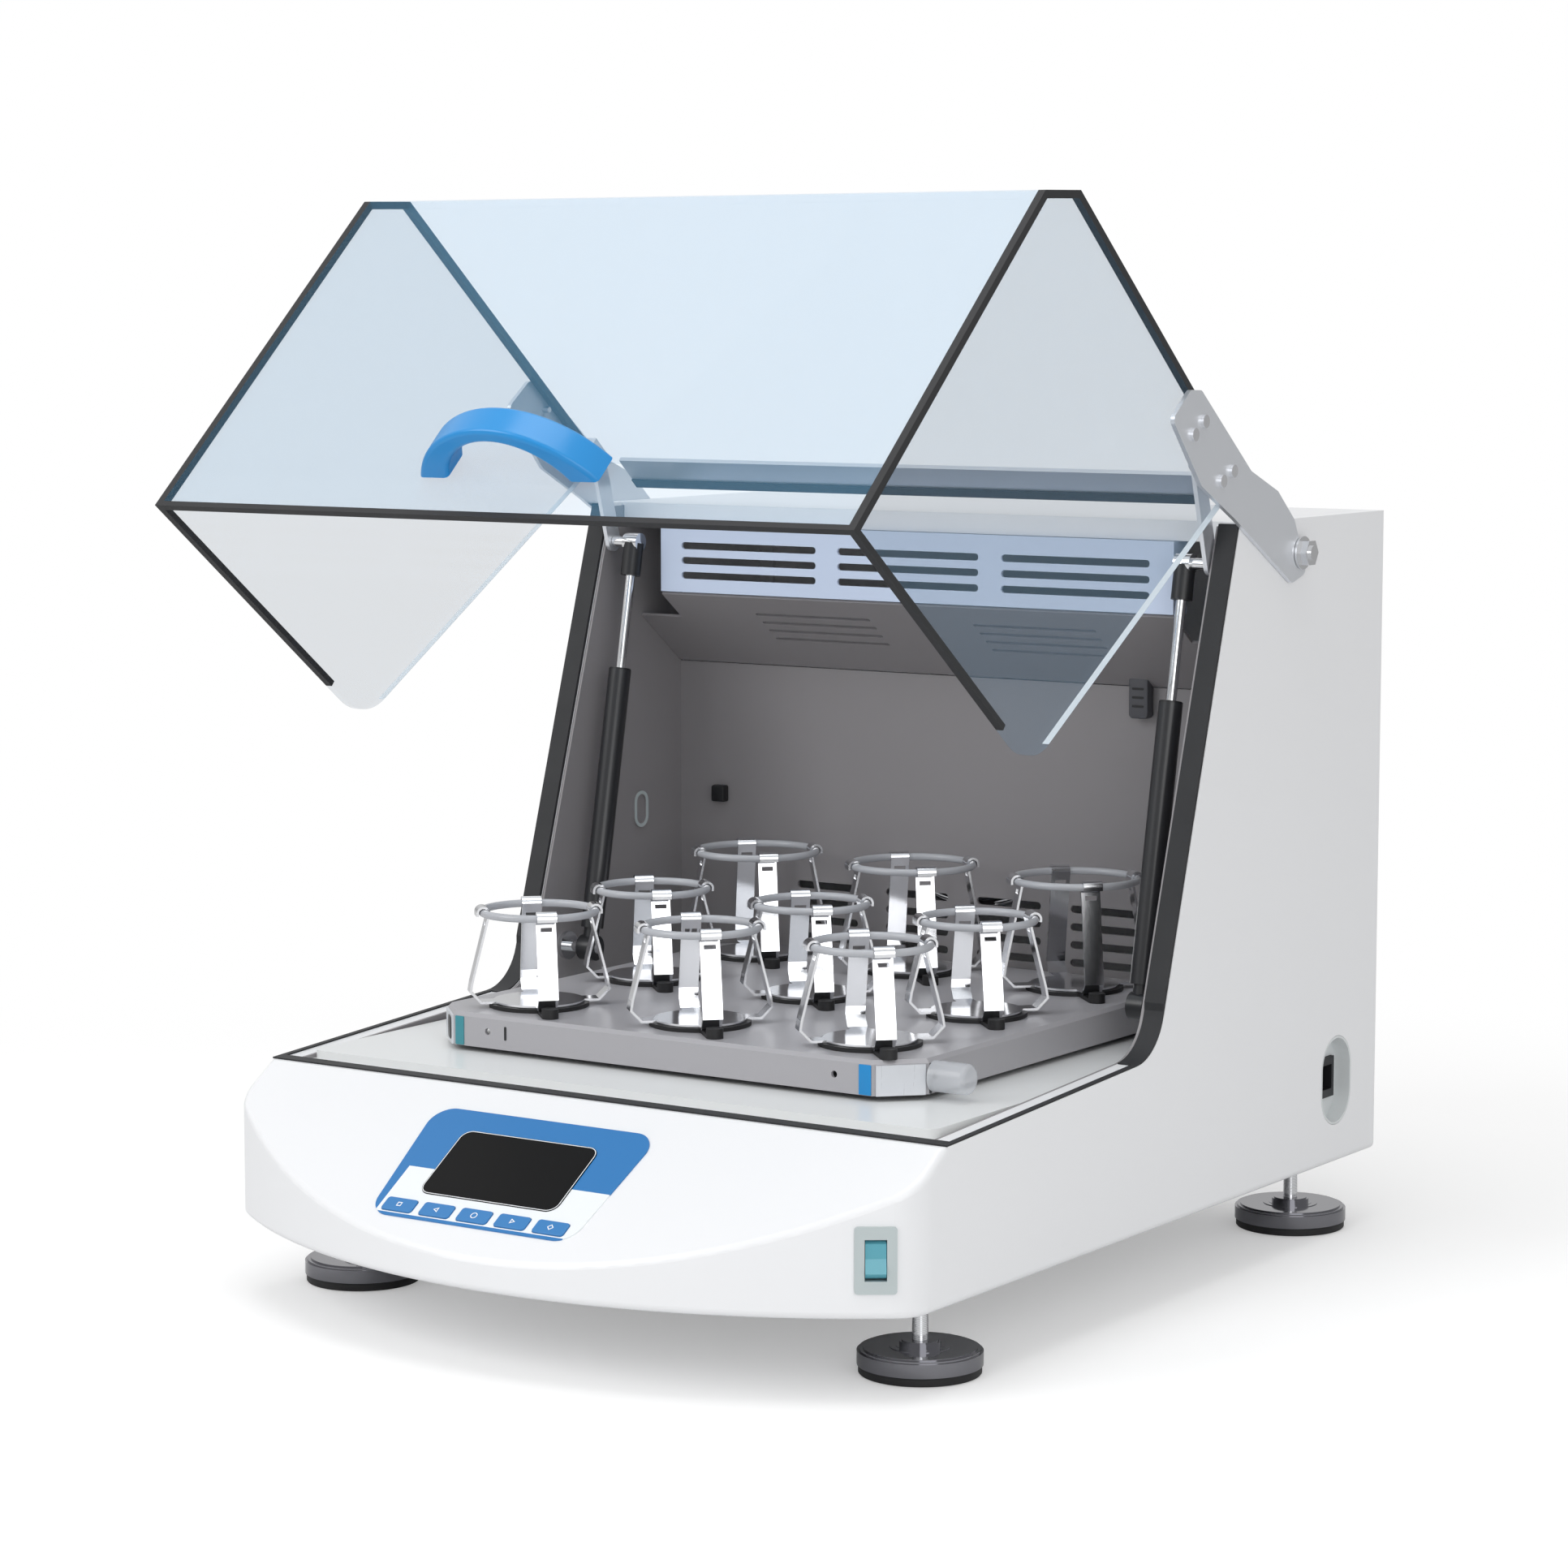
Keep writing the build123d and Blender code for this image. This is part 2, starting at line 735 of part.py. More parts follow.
tray_front_depth = ledge_front_depth - edge_width - panel_gap
tray_rear_depth = chamber_rear_depth + panel_gap
tray_holes = [(0.0, ahead(drive_depth))] + [(x, ahead(idler_depth)) for x in mirrored_x([idler_x])]
pin_sweep = crank_pin_radius + orbit_radius + tray_hole_margin
with BuildPart() as floor_tray:
    with BuildSketch(Plane.XY.offset(up(tray_base_height))):
        with Locations((0.0, ahead((tray_front_depth + tray_rear_depth) / 2))):
            Rectangle(2 * (liner_inner_x - panel_gap), tray_front_depth - tray_rear_depth)
    extrude(amount=tray_sheet)
    for inset, mode in ((0.0, Mode.ADD), (tray_sheet, Mode.SUBTRACT)):
        with BuildSketch(Plane.XY.offset(up(tray_base_height))):
            front = tray_front_depth - tray_inset / 2 - inset
            rear = tray_rear_depth + inset
            half_width = liner_inner_x - tray_inset / 2 - inset
            with Locations((0.0, ahead((front + rear) / 2))):
                RectangleRounded(2 * half_width, front - rear, tray_corner_radius - inset)
        extrude(amount=tray_top_height - inset - tray_base_height, mode=mode)
    with BuildSketch(Plane.XY.offset(up(tray_base_height))):
        with Locations(*tray_holes):
            Circle(pin_sweep)
    extrude(amount=casing_height, mode=Mode.SUBTRACT)
save(floor_tray, "floor_tray")


def seal_strip(x, width, thickness, start, end):
    """A stretch of the seal on the mouth's edge: from x over a width, between two depths."""
    with BuildSketch(Plane.YZ.offset(x)) as strip:
        add(side_profile(-thickness))
        add(side_profile(0.0), mode=Mode.SUBTRACT)
        with BuildLine():
            Polyline(
                at(start, casing_height - gasket_margin),
                at(end, casing_height - gasket_margin),
                at(end, ledge_front_height - seal_corner_margin),
                at(start, ledge_front_height - seal_corner_margin),
                close=True,
            )
        make_face(mode=Mode.INTERSECT)
    extrude(strip.sketch, amount=width)


# The tangent points of the mouth's rounded corner.
corner_turn = radians(90.0 - mouth_lean - ledge_slope)
corner_run = mouth_corner_radius * tan(corner_turn / 2)
corner_rear_depth = mouth_corner[0] - corner_run * sin(radians(mouth_lean))
corner_front_depth = mouth_corner[0] + corner_run * cos(radians(ledge_slope))
ledge_seal_end = ledge_front_depth - ledge_seal_setback
with BuildPart() as mouth_gasket:
    steep_start = mouth_top_depth - gasket_margin
    strip_width = edge_width - 2 * gasket_margin
    seal_half_width = casing_half_width - gasket_margin
    for x in (seal_half_width - strip_width, -seal_half_width):
        seal_strip(x, strip_width, gasket_thickness, steep_start, corner_rear_depth)
        seal_strip(x, strip_width, ledge_seal, corner_rear_depth, corner_front_depth)
    for x in (seal_half_width - ledge_seal_width, -seal_half_width):
        seal_strip(x, ledge_seal_width, ledge_seal, corner_front_depth, ledge_seal_end)
    seal_strip(
        -seal_half_width,
        2 * seal_half_width,
        ledge_seal,
        ledge_seal_end - ledge_seal_front,
        ledge_seal_end,
    )
save(mouth_gasket, "mouth_gasket")


# ================================================================ controls
def overlay_outline():
    """The control overlay's trapezium on the slope."""
    half_top = overlay_top_width / 2
    half_bottom = overlay_bottom_width / 2
    with BuildSketch() as outline:
        with BuildLine():
            Polyline(
                (panel_centre_x - half_top, -overlay_top),
                (panel_centre_x + half_top, -overlay_top),
                (panel_centre_x + half_bottom, -overlay_bottom),
                (panel_centre_x - half_bottom, -overlay_bottom),
                close=True,
            )
        make_face()
        fillet(outline.vertices(), overlay_corner)
    return outline.sketch_local


with BuildPart() as control_overlay:
    with BuildSketch(control_plane):
        add(overlay_outline())
        with Locations((panel_centre_x, -screen_centre)):
            RectangleRounded(
                screen_hole_width, screen_hole_height, screen_corner, mode=Mode.SUBTRACT
            )
        with Locations(*key_places):
            RectangleRounded(
                key_hole_width, key_hole_height, key_hole_corner, mode=Mode.SUBTRACT
            )
    extrude(amount=overlay_sheet)
save(control_overlay, "control_overlay")

with BuildPart() as display_window:
    with BuildSketch(control_plane.offset(-wall - screen_frame)):
        with Locations((panel_centre_x, -screen_centre)):
            RectangleRounded(screen_width, screen_height, screen_corner - screen_fit)
    extrude(amount=wall + screen_frame + overlay_sheet + screen_proud)
    with BuildSketch(control_plane.offset(-wall - screen_frame)):
        with Locations((panel_centre_x, -screen_centre)):
            Rectangle(
                screen_width + 2 * screen_frame_margin, screen_height + 2 * screen_frame_margin
            )
    extrude(amount=screen_frame)
save(display_window, "display_window")

for index, place in enumerate(key_places):
    with BuildPart() as key:
        with BuildSketch(control_plane.offset(-wall - key_clearance)):
            with Locations(place):
                RectangleRounded(key_width, key_height, key_corner)
        extrude(amount=wall + key_clearance + key_proud)
        slope_axis = Axis(control_plane.origin, control_plane.z_dir)
        fillet(key.edges().group_by(slope_axis)[-1], key_rounding)
        with BuildSketch(control_plane.offset(-wall - key_clearance)):
            with Locations(place):
                Rectangle(key_width + 2 * key_flange_overhang, key_height + key_flange_overhang)
        extrude(amount=-key_flange)
    save(key, f"key_{index + 1}")

with BuildPart() as switch_bezel:
    with BuildSketch(switch_plane.offset(bezel_seat)):
        RectangleRounded(bezel_width, bezel_height, bezel_corner)
    extrude(amount=bezel_rim)
    with BuildSketch(switch_plane.offset(bezel_seat)):
        Rectangle(switch_body_width, switch_body_height)
    extrude(amount=-switch_body_depth)
    with BuildSketch(switch_plane.offset(bezel_seat - switch_body_depth + bezel_back)):
        Rectangle(rocker_width + 2 * rocker_fit, 2 * (rocker_radius + rocker_fit))
    extrude(amount=2 * switch_body_depth, mode=Mode.SUBTRACT)
save(switch_bezel, "switch_bezel")

# The rocker is drawn tipped to one side: its lower half is level with the bezel.
rocker_side = switch_plane.origin - switch_plane.x_dir * rocker_width / 2
rocker_plane = Plane(
    origin=rocker_side - switch_plane.z_dir * rocker_pivot,
    x_dir=switch_plane.z_dir * cos(radians(rocker_tilt)) + Vector(0, 0, sin(radians(rocker_tilt))),
    z_dir=switch_plane.x_dir,
)
with BuildPart() as power_rocker:
    with BuildSketch(rocker_plane):
        Circle(rocker_radius)
        with BuildLine():
            reach = 2 * rocker_radius
            rise = reach * tan(radians(rocker_tilt))
            Polyline(
                (-reach, reach),
                (rocker_crown + rise, reach),
                (rocker_crown, 0.0),
                (rocker_crown + rise, -reach),
                (-reach, -reach),
                close=True,
            )
        make_face(mode=Mode.INTERSECT)
    extrude(amount=rocker_width)
save(power_rocker, "power_rocker")

# ================================================================ power inlet
with BuildPart() as inlet_cup:
    with BuildSketch(inlet_plane):
        SlotCenterToCenter(cup_height - cup_width, cup_width - 2 * seat_gap, rotation=90)
    extrude(amount=-cup_depth)
    with BuildSketch(inlet_plane):
        SlotCenterToCenter(cup_height - cup_width, cup_width - 2 * seat_gap - 2 * cup_wall, rotation=90)
    extrude(amount=-(cup_depth - cup_wall), mode=Mode.SUBTRACT)
    with BuildSketch(inlet_plane):
        Rectangle(inlet_width + 2 * seat_gap, inlet_rise + 2 * seat_gap)
    extrude(amount=-2 * cup_depth, mode=Mode.SUBTRACT)
save(inlet_cup, "inlet_cup")

contact_places = (
    (-contact_pitch, -contact_offset),
    (0.0, contact_offset),
    (contact_pitch, -contact_offset),
)
with BuildPart() as power_inlet:
    with BuildSketch(inlet_plane.offset(-inlet_face)):
        Rectangle(inlet_width, inlet_rise)
    extrude(amount=-inlet_length)
    with BuildSketch(inlet_plane.offset(-inlet_face)):
        Rectangle(socket_width, socket_rise)
    extrude(amount=-socket_depth, mode=Mode.SUBTRACT)
    with BuildSketch(inlet_plane.offset(-inlet_face - socket_depth)):
        with Locations(*contact_places):
            Rectangle(contact_sheet, contact_width)
    extrude(amount=contact_length)
save(power_inlet, "power_inlet")

# ================================================================ lid, modelled swung open
lid_plane = Plane(
    origin=(0.0, *at(hinge_depth, hinge_height)),
    x_dir=(0, cos(radians(open_angle)), -sin(radians(open_angle))),
    z_dir=(1, 0, 0),
)


def on_lid(*points):
    """Points of the closed lid's side view, as the lid's own plane holds them."""
    return [(hinge_depth - depth, height - hinge_height) for depth, height in points]


steep_edge = shifted(steep_line, seal_offset)
lower_edge = shifted(ledge_line, -(ledge_seal + lid_gap))
lid_corner = crossing(steep_edge, lower_edge)
lid_foot = crossing(((lid_foot_depth, ledge_front_height), lid_front_top), lower_edge)
front_line = (lid_foot, lid_front_top)
bevel_line = (lid_front_top, lid_bevel_top)
top_line = (lid_bevel_top, lid_rear_top)
inner_front = shifted(front_line, acrylic)
inner_bevel = shifted(bevel_line, acrylic)
inner_top = shifted(top_line, acrylic)
trim_line = shifted(lower_edge, -trim_width)
lid_front_top_inner = crossing(inner_front, inner_bevel)
lid_bevel_top_inner = crossing(inner_bevel, inner_top)
lid_rear_outer = crossing(top_line, steep_edge)
lid_rear_inner = crossing(inner_top, steep_edge)
trim_foot_outer = crossing(front_line, trim_line)
trim_foot_inner = crossing(inner_front, trim_line)
lid_foot_inner = crossing(inner_front, lower_edge)
trim_end_depth = lid_corner[0] + trim_stop
trim_end_line = ((trim_end_depth, 0.0), (trim_end_depth, 1.0))
trim_end_lower = crossing(lower_edge, trim_end_line)
trim_end_upper = crossing(trim_line, trim_end_line)
front_quad = (trim_foot_outer, lid_front_top, lid_front_top_inner, trim_foot_inner)
bevel_quad = (lid_front_top, lid_bevel_top, lid_bevel_top_inner, lid_front_top_inner)
top_quad = (lid_bevel_top, lid_rear_outer, lid_rear_inner, lid_bevel_top_inner)
foot_quad = (lid_foot, trim_foot_outer, trim_foot_inner, lid_foot_inner)
side_trim_quad = (lid_foot_inner, trim_foot_inner, trim_end_upper, trim_end_lower)


def lid_strip(quad, x, width):
    """A straight strip of the lid, from x over a width."""
    with BuildSketch(lid_plane.offset(x)) as end:
        with BuildLine():
            Polyline(*on_lid(*quad), close=True)
        make_face()
    extrude(end.sketch, amount=width)


cross_panels = {
    "lid_front_panel": front_quad,
    "lid_bevel_panel": bevel_quad,
    "lid_top_panel": top_quad,
}
for name, quad in cross_panels.items():
    with BuildPart() as panel:
        lid_strip(quad, -lid_inner_x, 2 * lid_inner_x)
    save(panel, name)

for name, x in (("lid_side_right", lid_inner_x), ("lid_side_left", -lid_outer_x)):
    with BuildPart() as panel:
        with BuildSketch(lid_plane.offset(x)) as side_face:
            with BuildLine():
                Polyline(
                    *on_lid(
                        trim_foot_inner,
                        lid_front_top_inner,
                        lid_bevel_top_inner,
                        lid_rear_inner,
                        lid_corner,
                        trim_end_lower,
                        trim_end_upper,
                    ),
                    close=True,
                )
            make_face()
            corner_point = Vector(*on_lid(lid_corner)[0], 0)
            fillet(side_face.vertices().sort_by_distance(corner_point)[0], lid_corner_radius)
            with Locations(*on_lid(*bracket_screws_at)):
                Circle(screw_radius + screw_fit, mode=Mode.SUBTRACT)
        extrude(amount=acrylic)
    save(panel, name)

rail_top = lid_rear_top[1]
rail_bottom = rail_top - rail_height
rail_front = lid_rear_outer[0] - seat_gap
seal_bottom = rail_bottom - rear_seal_step
seal_outline = (
    (rear_seal_depth, seal_bottom),
    (rear_seal_depth, seal_bottom + rear_seal_height / 2),
    (rail_rear_depth, seal_bottom + rear_seal_height),
    (rail_rear_depth, seal_bottom),
)
with BuildPart() as trim_foot:
    lid_strip(foot_quad, -lid_inner_x, 2 * lid_inner_x)
with BuildPart() as rear_seal:
    lid_strip(seal_outline, -rail_half_length, 2 * rail_half_length)
side_trims = []
for x in (lid_inner_x, -lid_outer_x):
    with BuildPart() as side_trim:
        for quad in (foot_quad, front_quad, bevel_quad, top_quad, side_trim_quad):
            lid_strip(quad, x, acrylic)
    side_trims.append(side_trim)
save_group([trim_foot, rear_seal, *side_trims], "lid_edge_trim")

with BuildPart() as lid_rear_rail:
    lip_top = rail_top - acrylic - seat_gap
    rail_outline = (
        (rail_rear_depth, rail_top),
        (rail_front, rail_top),
        (rail_front, lip_top),
        (rail_front + rail_lip, lip_top),
        (rail_front + rail_lip, rail_bottom),
        (rail_rear_depth, rail_bottom),
    )
    lid_strip(rail_outline, -rail_half_length, 2 * rail_half_length)
save(lid_rear_rail, "lid_rear_rail")

with BuildPart() as hinge_brackets:
    for x in (lid_outer_x, -lid_outer_x - bracket_sheet):
        with BuildSketch(lid_plane.offset(x)) as plate:
            with BuildLine():
                Polyline(*on_lid(*bracket_outline), close=True)
            make_face()
            fillet(plate.vertices(), bracket_fold)
            with Locations((0.0, 0.0)):
                Circle(pivot_radius + pivot_fit, mode=Mode.SUBTRACT)
            with Locations(*on_lid(*bracket_screws_at)):
                Circle(screw_radius + screw_fit, mode=Mode.SUBTRACT)
        extrude(amount=bracket_sheet)
save(hinge_brackets, "hinge_brackets")

with BuildPart() as bracket_screws:
    for side in (1, -1):
        with BuildSketch(lid_plane.offset(side * lid_inner_x)):
            with Locations(*on_lid(*bracket_screws_at)):
                Circle(screw_radius)
        extrude(amount=side * (acrylic + bracket_sheet))
        with BuildSketch(lid_plane.offset(side * (lid_outer_x + bracket_sheet))):
            with Locations(*on_lid(*bracket_screws_at)):
                Circle(screw_head_radius)
        extrude(amount=side * screw_head)
save(bracket_screws, "bracket_screws")

with BuildPart() as pivot_bolts:
    pivot = at(hinge_depth, hinge_height)
    washer_x = lid_outer_x + bracket_sheet + seat_gap
    for side in (1, -1):
        with BuildSketch(Plane.YZ.offset(side * (casing_half_width - wall))):
            with Locations(pivot):
                Circle(pivot_flange_radius)
        extrude(amount=-side * pivot_flange)
        with BuildSketch(Plane.YZ.offset(side * (casing_half_width - wall))):
            with Locations(pivot):
                Circle(pivot_radius)
        extrude(amount=side * (washer_x + washer + nut_height + bolt_end - casing_half_width + wall))
        with BuildSketch(Plane.YZ.offset(side * washer_x)):
            with Locations(pivot):
                Circle(washer_radius)
        extrude(amount=side * washer)
        with BuildSketch(Plane.YZ.offset(side * (washer_x + washer))):
            with Locations(pivot):
                RegularPolygon(nut_across / 2, 6, major_radius=False)
        extrude(amount=side * nut_height)
save(pivot_bolts, "pivot_bolts")

front_length = hypot(lid_front_top[0] - lid_foot[0], lid_front_top[1] - lid_foot[1])
front_step = (
    (lid_front_top[0] - lid_foot[0]) / front_length,
    (lid_front_top[1] - lid_foot[1]) / front_length,
)
handle_root = (
    lid_foot[0] + front_step[0] * handle_along,
    lid_foot[1] + front_step[1] * handle_along,
)
root_local = on_lid(handle_root)[0]
front_normal = lid_plane.x_dir * -front_step[1] + lid_plane.y_dir * -front_step[0]
front_up = lid_plane.x_dir * -front_step[0] + lid_plane.y_dir * front_step[1]
handle_plane = Plane(
    origin=lid_plane.from_local_coords(Vector(*root_local, 0)),
    x_dir=(1, 0, 0),
    z_dir=front_up,
)
handle_side = 1.0 if handle_plane.y_dir.dot(front_normal) > 0 else -1.0
with BuildPart() as lid_handle:
    with BuildSketch(handle_plane):
        half = handle_span / 2
        rise = handle_side * handle_rise
        bar = handle_side * handle_bar
        with BuildLine():
            ThreePointArc((-half, 0.0), (0.0, rise), (half, 0.0))
            Line((half, 0.0), (half - handle_foot, 0.0))
            ThreePointArc((half - handle_foot, 0.0), (0.0, rise - bar), (handle_foot - half, 0.0))
            Line((handle_foot - half, 0.0), (-half, 0.0))
        make_face()
    extrude(amount=handle_width / 2, both=True)
    fillet(lid_handle.edges().filter_by(GeomType.CIRCLE), handle_rounding)
save(lid_handle, "lid_handle")

# ================================================================ gas struts and their arms
strut_top_closed = turned(strut_top_open, -open_angle)
with BuildPart() as strut_arms:
    seat_line_top = crossing(inner_top, ((arm_seat_front, 0.0), (arm_seat_front, 1.0)))[1]
    seat_top = seat_line_top - seat_gap
    seat_bottom = seat_top - arm_seat_height
    for side in (1, -1):
        blade_x = arm_inner_x if side > 0 else -arm_inner_x - arm_sheet
        seat_x = arm_inner_x if side > 0 else -lid_inner_x
        with BuildSketch(lid_plane.offset(blade_x)):
            tip = on_lid(strut_top_closed)[0]
            root = on_lid(((arm_seat_front + arm_seat_rear) / 2, (seat_top + seat_bottom) / 2))[0]
            with Locations(tip):
                Circle(arm_radius)
            with BuildLine() as arm_line:
                Line(tip, root)
            trace(line_width=2 * arm_radius)
        extrude(amount=arm_sheet)
        seat = (
            (arm_seat_rear, seat_bottom),
            (arm_seat_rear, seat_top),
            (arm_seat_front, seat_top),
            (arm_seat_front, seat_bottom),
        )
        lid_strip(seat, seat_x, lid_inner_x - arm_inner_x)
save(strut_arms, "strut_arms")

with BuildPart() as lower_ball_studs:
    for side in (1, -1):
        with BuildSketch(Plane.YZ.offset(side * liner_inner_x)):
            with Locations(at(*strut_foot)):
                Circle(stud_base_radius)
        extrude(amount=-side * stud_base)
        with BuildSketch(Plane.YZ.offset(side * (liner_inner_x - stud_base))):
            with Locations(at(*strut_foot)):
                Circle(strut_pin_radius)
        extrude(amount=-side * (liner_inner_x - stud_base - strut_x + strut_eye_width / 2 + 1.0))
save(lower_ball_studs, "lower_ball_studs")

strut_rise = strut_top_open[1] - strut_foot[1]
strut_back = strut_foot[0] - strut_top_open[0]
strut_length = hypot(strut_rise, strut_back)
strut_direction = Vector(0, strut_back / strut_length, strut_rise / strut_length)


def strut_plane(x, along):
    """A plane square to a strut, that far up from its lower pivot."""
    foot = Vector(x, *at(*strut_foot))
    return Plane(origin=foot + strut_direction * along, x_dir=(1, 0, 0), z_dir=strut_direction)


for name, side in (("right", 1), ("left", -1)):
    x = side * strut_x
    with BuildPart() as cylinder:
        with BuildSketch(strut_plane(x, strut_cylinder_start)):
            Circle(strut_cylinder_radius)
        extrude(amount=strut_cylinder_end - strut_cylinder_start)
        with BuildSketch(strut_plane(x, 0.0)):
            Circle(strut_neck_radius)
        extrude(amount=strut_cylinder_start)
        with BuildSketch(Plane.YZ.offset(x - strut_eye_width / 2)):
            with Locations(at(*strut_foot)):
                Circle(strut_eye_radius)
        extrude(amount=strut_eye_width)
        with BuildSketch(Plane.YZ.offset(x - strut_eye_width / 2)):
            with Locations(at(*strut_foot)):
                Circle(strut_pin_radius + bearing_fit)
        extrude(amount=strut_eye_width, mode=Mode.SUBTRACT)
        with BuildSketch(strut_plane(x, strut_cylinder_end)):
            Circle(strut_rod_radius + strut_rod_fit)
        extrude(amount=-strut_bore_depth, mode=Mode.SUBTRACT)
    save(cylinder, f"strut_cylinder_{name}")
    with BuildPart() as rod:
        with BuildSketch(strut_plane(x, strut_cylinder_end - strut_rod_inside)):
            Circle(strut_rod_radius)
        extrude(amount=strut_length - strut_cylinder_end + strut_rod_inside)
        with BuildSketch(strut_plane(x, strut_length - strut_socket_length)):
            Circle(strut_socket_radius)
        extrude(amount=strut_socket_length)
        with BuildSketch(Plane.YZ.offset(x - strut_eye_width / 2)):
            with Locations(at(*strut_top_open)):
                Circle(strut_socket_radius)
        extrude(amount=strut_eye_width)
        with BuildSketch(Plane.YZ.offset(x)):
            with Locations(at(*strut_top_open)):
                Circle(strut_pin_radius)
        extrude(amount=side * (arm_inner_x - seat_gap - strut_x))
    save(rod, f"strut_rod_{name}")

# ================================================================ orbital drive
drive_place = (0.0, ahead(drive_depth))
idler_places = {"right": (idler_x, ahead(idler_depth)), "left": (-idler_x, ahead(idler_depth))}


def crank(place):
    """An upright shaft, a web and a pin that stands one orbit radius to the rear."""
    pin = (place[0], place[1] + orbit_radius)
    with BuildSketch(Plane.XY.offset(up(crank_shaft_bottom))) as shaft:
        with Locations(place):
            Circle(crank_shaft_radius)
    extrude(shaft.sketch, amount=crank_web_bottom - crank_shaft_bottom)
    with BuildSketch(Plane.XY.offset(up(crank_web_bottom))) as web:
        with Locations((place[0], place[1] + orbit_radius / 2)):
            Circle(crank_web_radius)
    extrude(web.sketch, amount=crank_web_top - crank_web_bottom)
    with BuildSketch(Plane.XY.offset(up(crank_web_top))) as pin_end:
        with Locations(pin):
            Circle(crank_pin_radius)
    extrude(pin_end.sketch, amount=pin_top_height - crank_web_top)


def upright_housing(place, radius):
    """A housing on the base plate with a bore for a crank's shaft."""
    with BuildSketch(Plane.XY.offset(up(wall + base_plate_sheet))) as housing:
        with Locations(place):
            Circle(radius)
    extrude(housing.sketch, amount=motor_top_height - wall - base_plate_sheet)
    with BuildSketch(Plane.XY.offset(up(crank_shaft_bottom - 1.0))) as bore:
        with Locations(place):
            Circle(crank_shaft_radius + bearing_fit)
    extrude(bore.sketch, amount=casing_height, mode=Mode.SUBTRACT)


with BuildPart() as drive_motor:
    upright_housing(drive_place, motor_radius)
save(drive_motor, "drive_motor")

with BuildPart() as idler_housings:
    for place in idler_places.values():
        upright_housing(place, housing_radius)
save(idler_housings, "idler_housings")

with BuildPart() as drive_crank:
    crank(drive_place)
save(drive_crank, "drive_crank")

with BuildPart() as counterweight:
    with BuildSketch(Plane.XY.offset(up(crank_web_top))):
        with Locations(drive_place):
            Circle(counterweight_radius)
        with Locations((drive_place[0], drive_place[1] + counterweight_radius + counterweight_gap)):
            Rectangle(2 * counterweight_radius, 2 * counterweight_radius, mode=Mode.SUBTRACT)
    extrude(amount=counterweight_sheet)
save(counterweight, "counterweight")

for name, place in idler_places.items():
    with BuildPart() as idler:
        crank(place)
    save(idler, f"idler_crank_{name}")

# ================================================================ platform
carrier_top = platform_top_height - platform_sheet


def platform_outline(inset):
    """The platform from above, with its corners cut off."""
    with BuildSketch() as outline:
        with Locations((0.0, ahead(platform_centre_depth))):
            Rectangle(2 * (platform_half_width - inset), platform_depth - 2 * inset)
        chamfer(outline.vertices(), platform_corner - (2 - sqrt(2.0)) * inset)
    return outline.sketch_local


with BuildPart() as platform_plate:
    with BuildSketch(Plane.XY.offset(up(platform_bottom_height))):
        add(platform_outline(0.0))
    extrude(amount=platform_top_height - platform_bottom_height)
    chamfer(platform_plate.faces().sort_by(Axis.Z)[-1].edges(), platform_edge)
    with BuildSketch(Plane.XY.offset(up(platform_bottom_height))):
        add(platform_outline(platform_sheet))
    extrude(amount=carrier_top - platform_bottom_height, mode=Mode.SUBTRACT)
    with BuildSketch(Plane.XZ.offset(-ahead(platform_front_depth))):
        with Locations(*[(x, up(knob_height)) for x in mirrored_x([front_hole_x])]):
            Circle(front_hole_radius)
    extrude(amount=-platform_sheet, mode=Mode.SUBTRACT)
    with BuildSketch(Plane.YZ.offset(platform_half_width)):
        with Locations(at(knob_depth, knob_height)):
            Circle(knob_shank_radius + bearing_fit)
    extrude(amount=-platform_sheet, mode=Mode.SUBTRACT)
save(platform_plate, "platform_plate")

pin_places = [(x, y + orbit_radius) for x, y in (drive_place, *idler_places.values())]
with BuildPart() as platform_carrier:
    with BuildSketch(Plane.XY.offset(up(carrier_top))):
        with Locations((0.0, ahead(platform_centre_depth))):
            Rectangle(
                2 * (platform_half_width - carrier_margin), platform_depth - 2 * carrier_margin
            )
    extrude(amount=-carrier_sheet)
    with BuildSketch(Plane.XY.offset(up(boss_bottom_height))):
        with Locations(*pin_places):
            Circle(boss_radius)
    extrude(amount=carrier_top - carrier_sheet - boss_bottom_height)
    with BuildSketch(Plane.XY.offset(up(boss_bottom_height))):
        with Locations(*pin_places):
            Circle(crank_pin_radius + bearing_fit)
    extrude(amount=pin_top_height + seat_gap - boss_bottom_height, mode=Mode.SUBTRACT)
save(platform_carrier, "platform_carrier")

with BuildPart() as corner_plates:
    corner_length = platform_corner * sqrt(2.0) - corner_plate_margin
    corner_height = platform_bottom_height + corner_plate_height / 2
    for side in (1, -1):
        middle = (
            side * (platform_half_width - platform_corner / 2),
            ahead(platform_front_depth - platform_corner / 2),
            up(corner_height),
        )
        corner_plane = Plane(origin=middle, x_dir=(1, side, 0), z_dir=(side, -1, 0))
        with BuildSketch(corner_plane):
            Rectangle(corner_length, corner_plate_height)
        extrude(amount=corner_plate_sheet)
save(corner_plates, "corner_plates")

with BuildPart() as platform_knob:
    with BuildSketch(Plane.YZ.offset(platform_half_width + knob_gap)):
        with Locations(at(knob_depth, knob_height)):
            Circle(knob_radius)
    extrude(amount=knob_length)
    fillet(platform_knob.edges().group_by(Axis.X)[-1], knob_rounding)
    with BuildSketch(Plane.YZ.offset(platform_half_width + knob_gap)):
        with Locations(at(knob_depth, knob_height)):
            Circle(knob_shank_radius)
    extrude(amount=-(platform_sheet + knob_gap + knob_shank_inside))
save(platform_knob, "platform_knob")

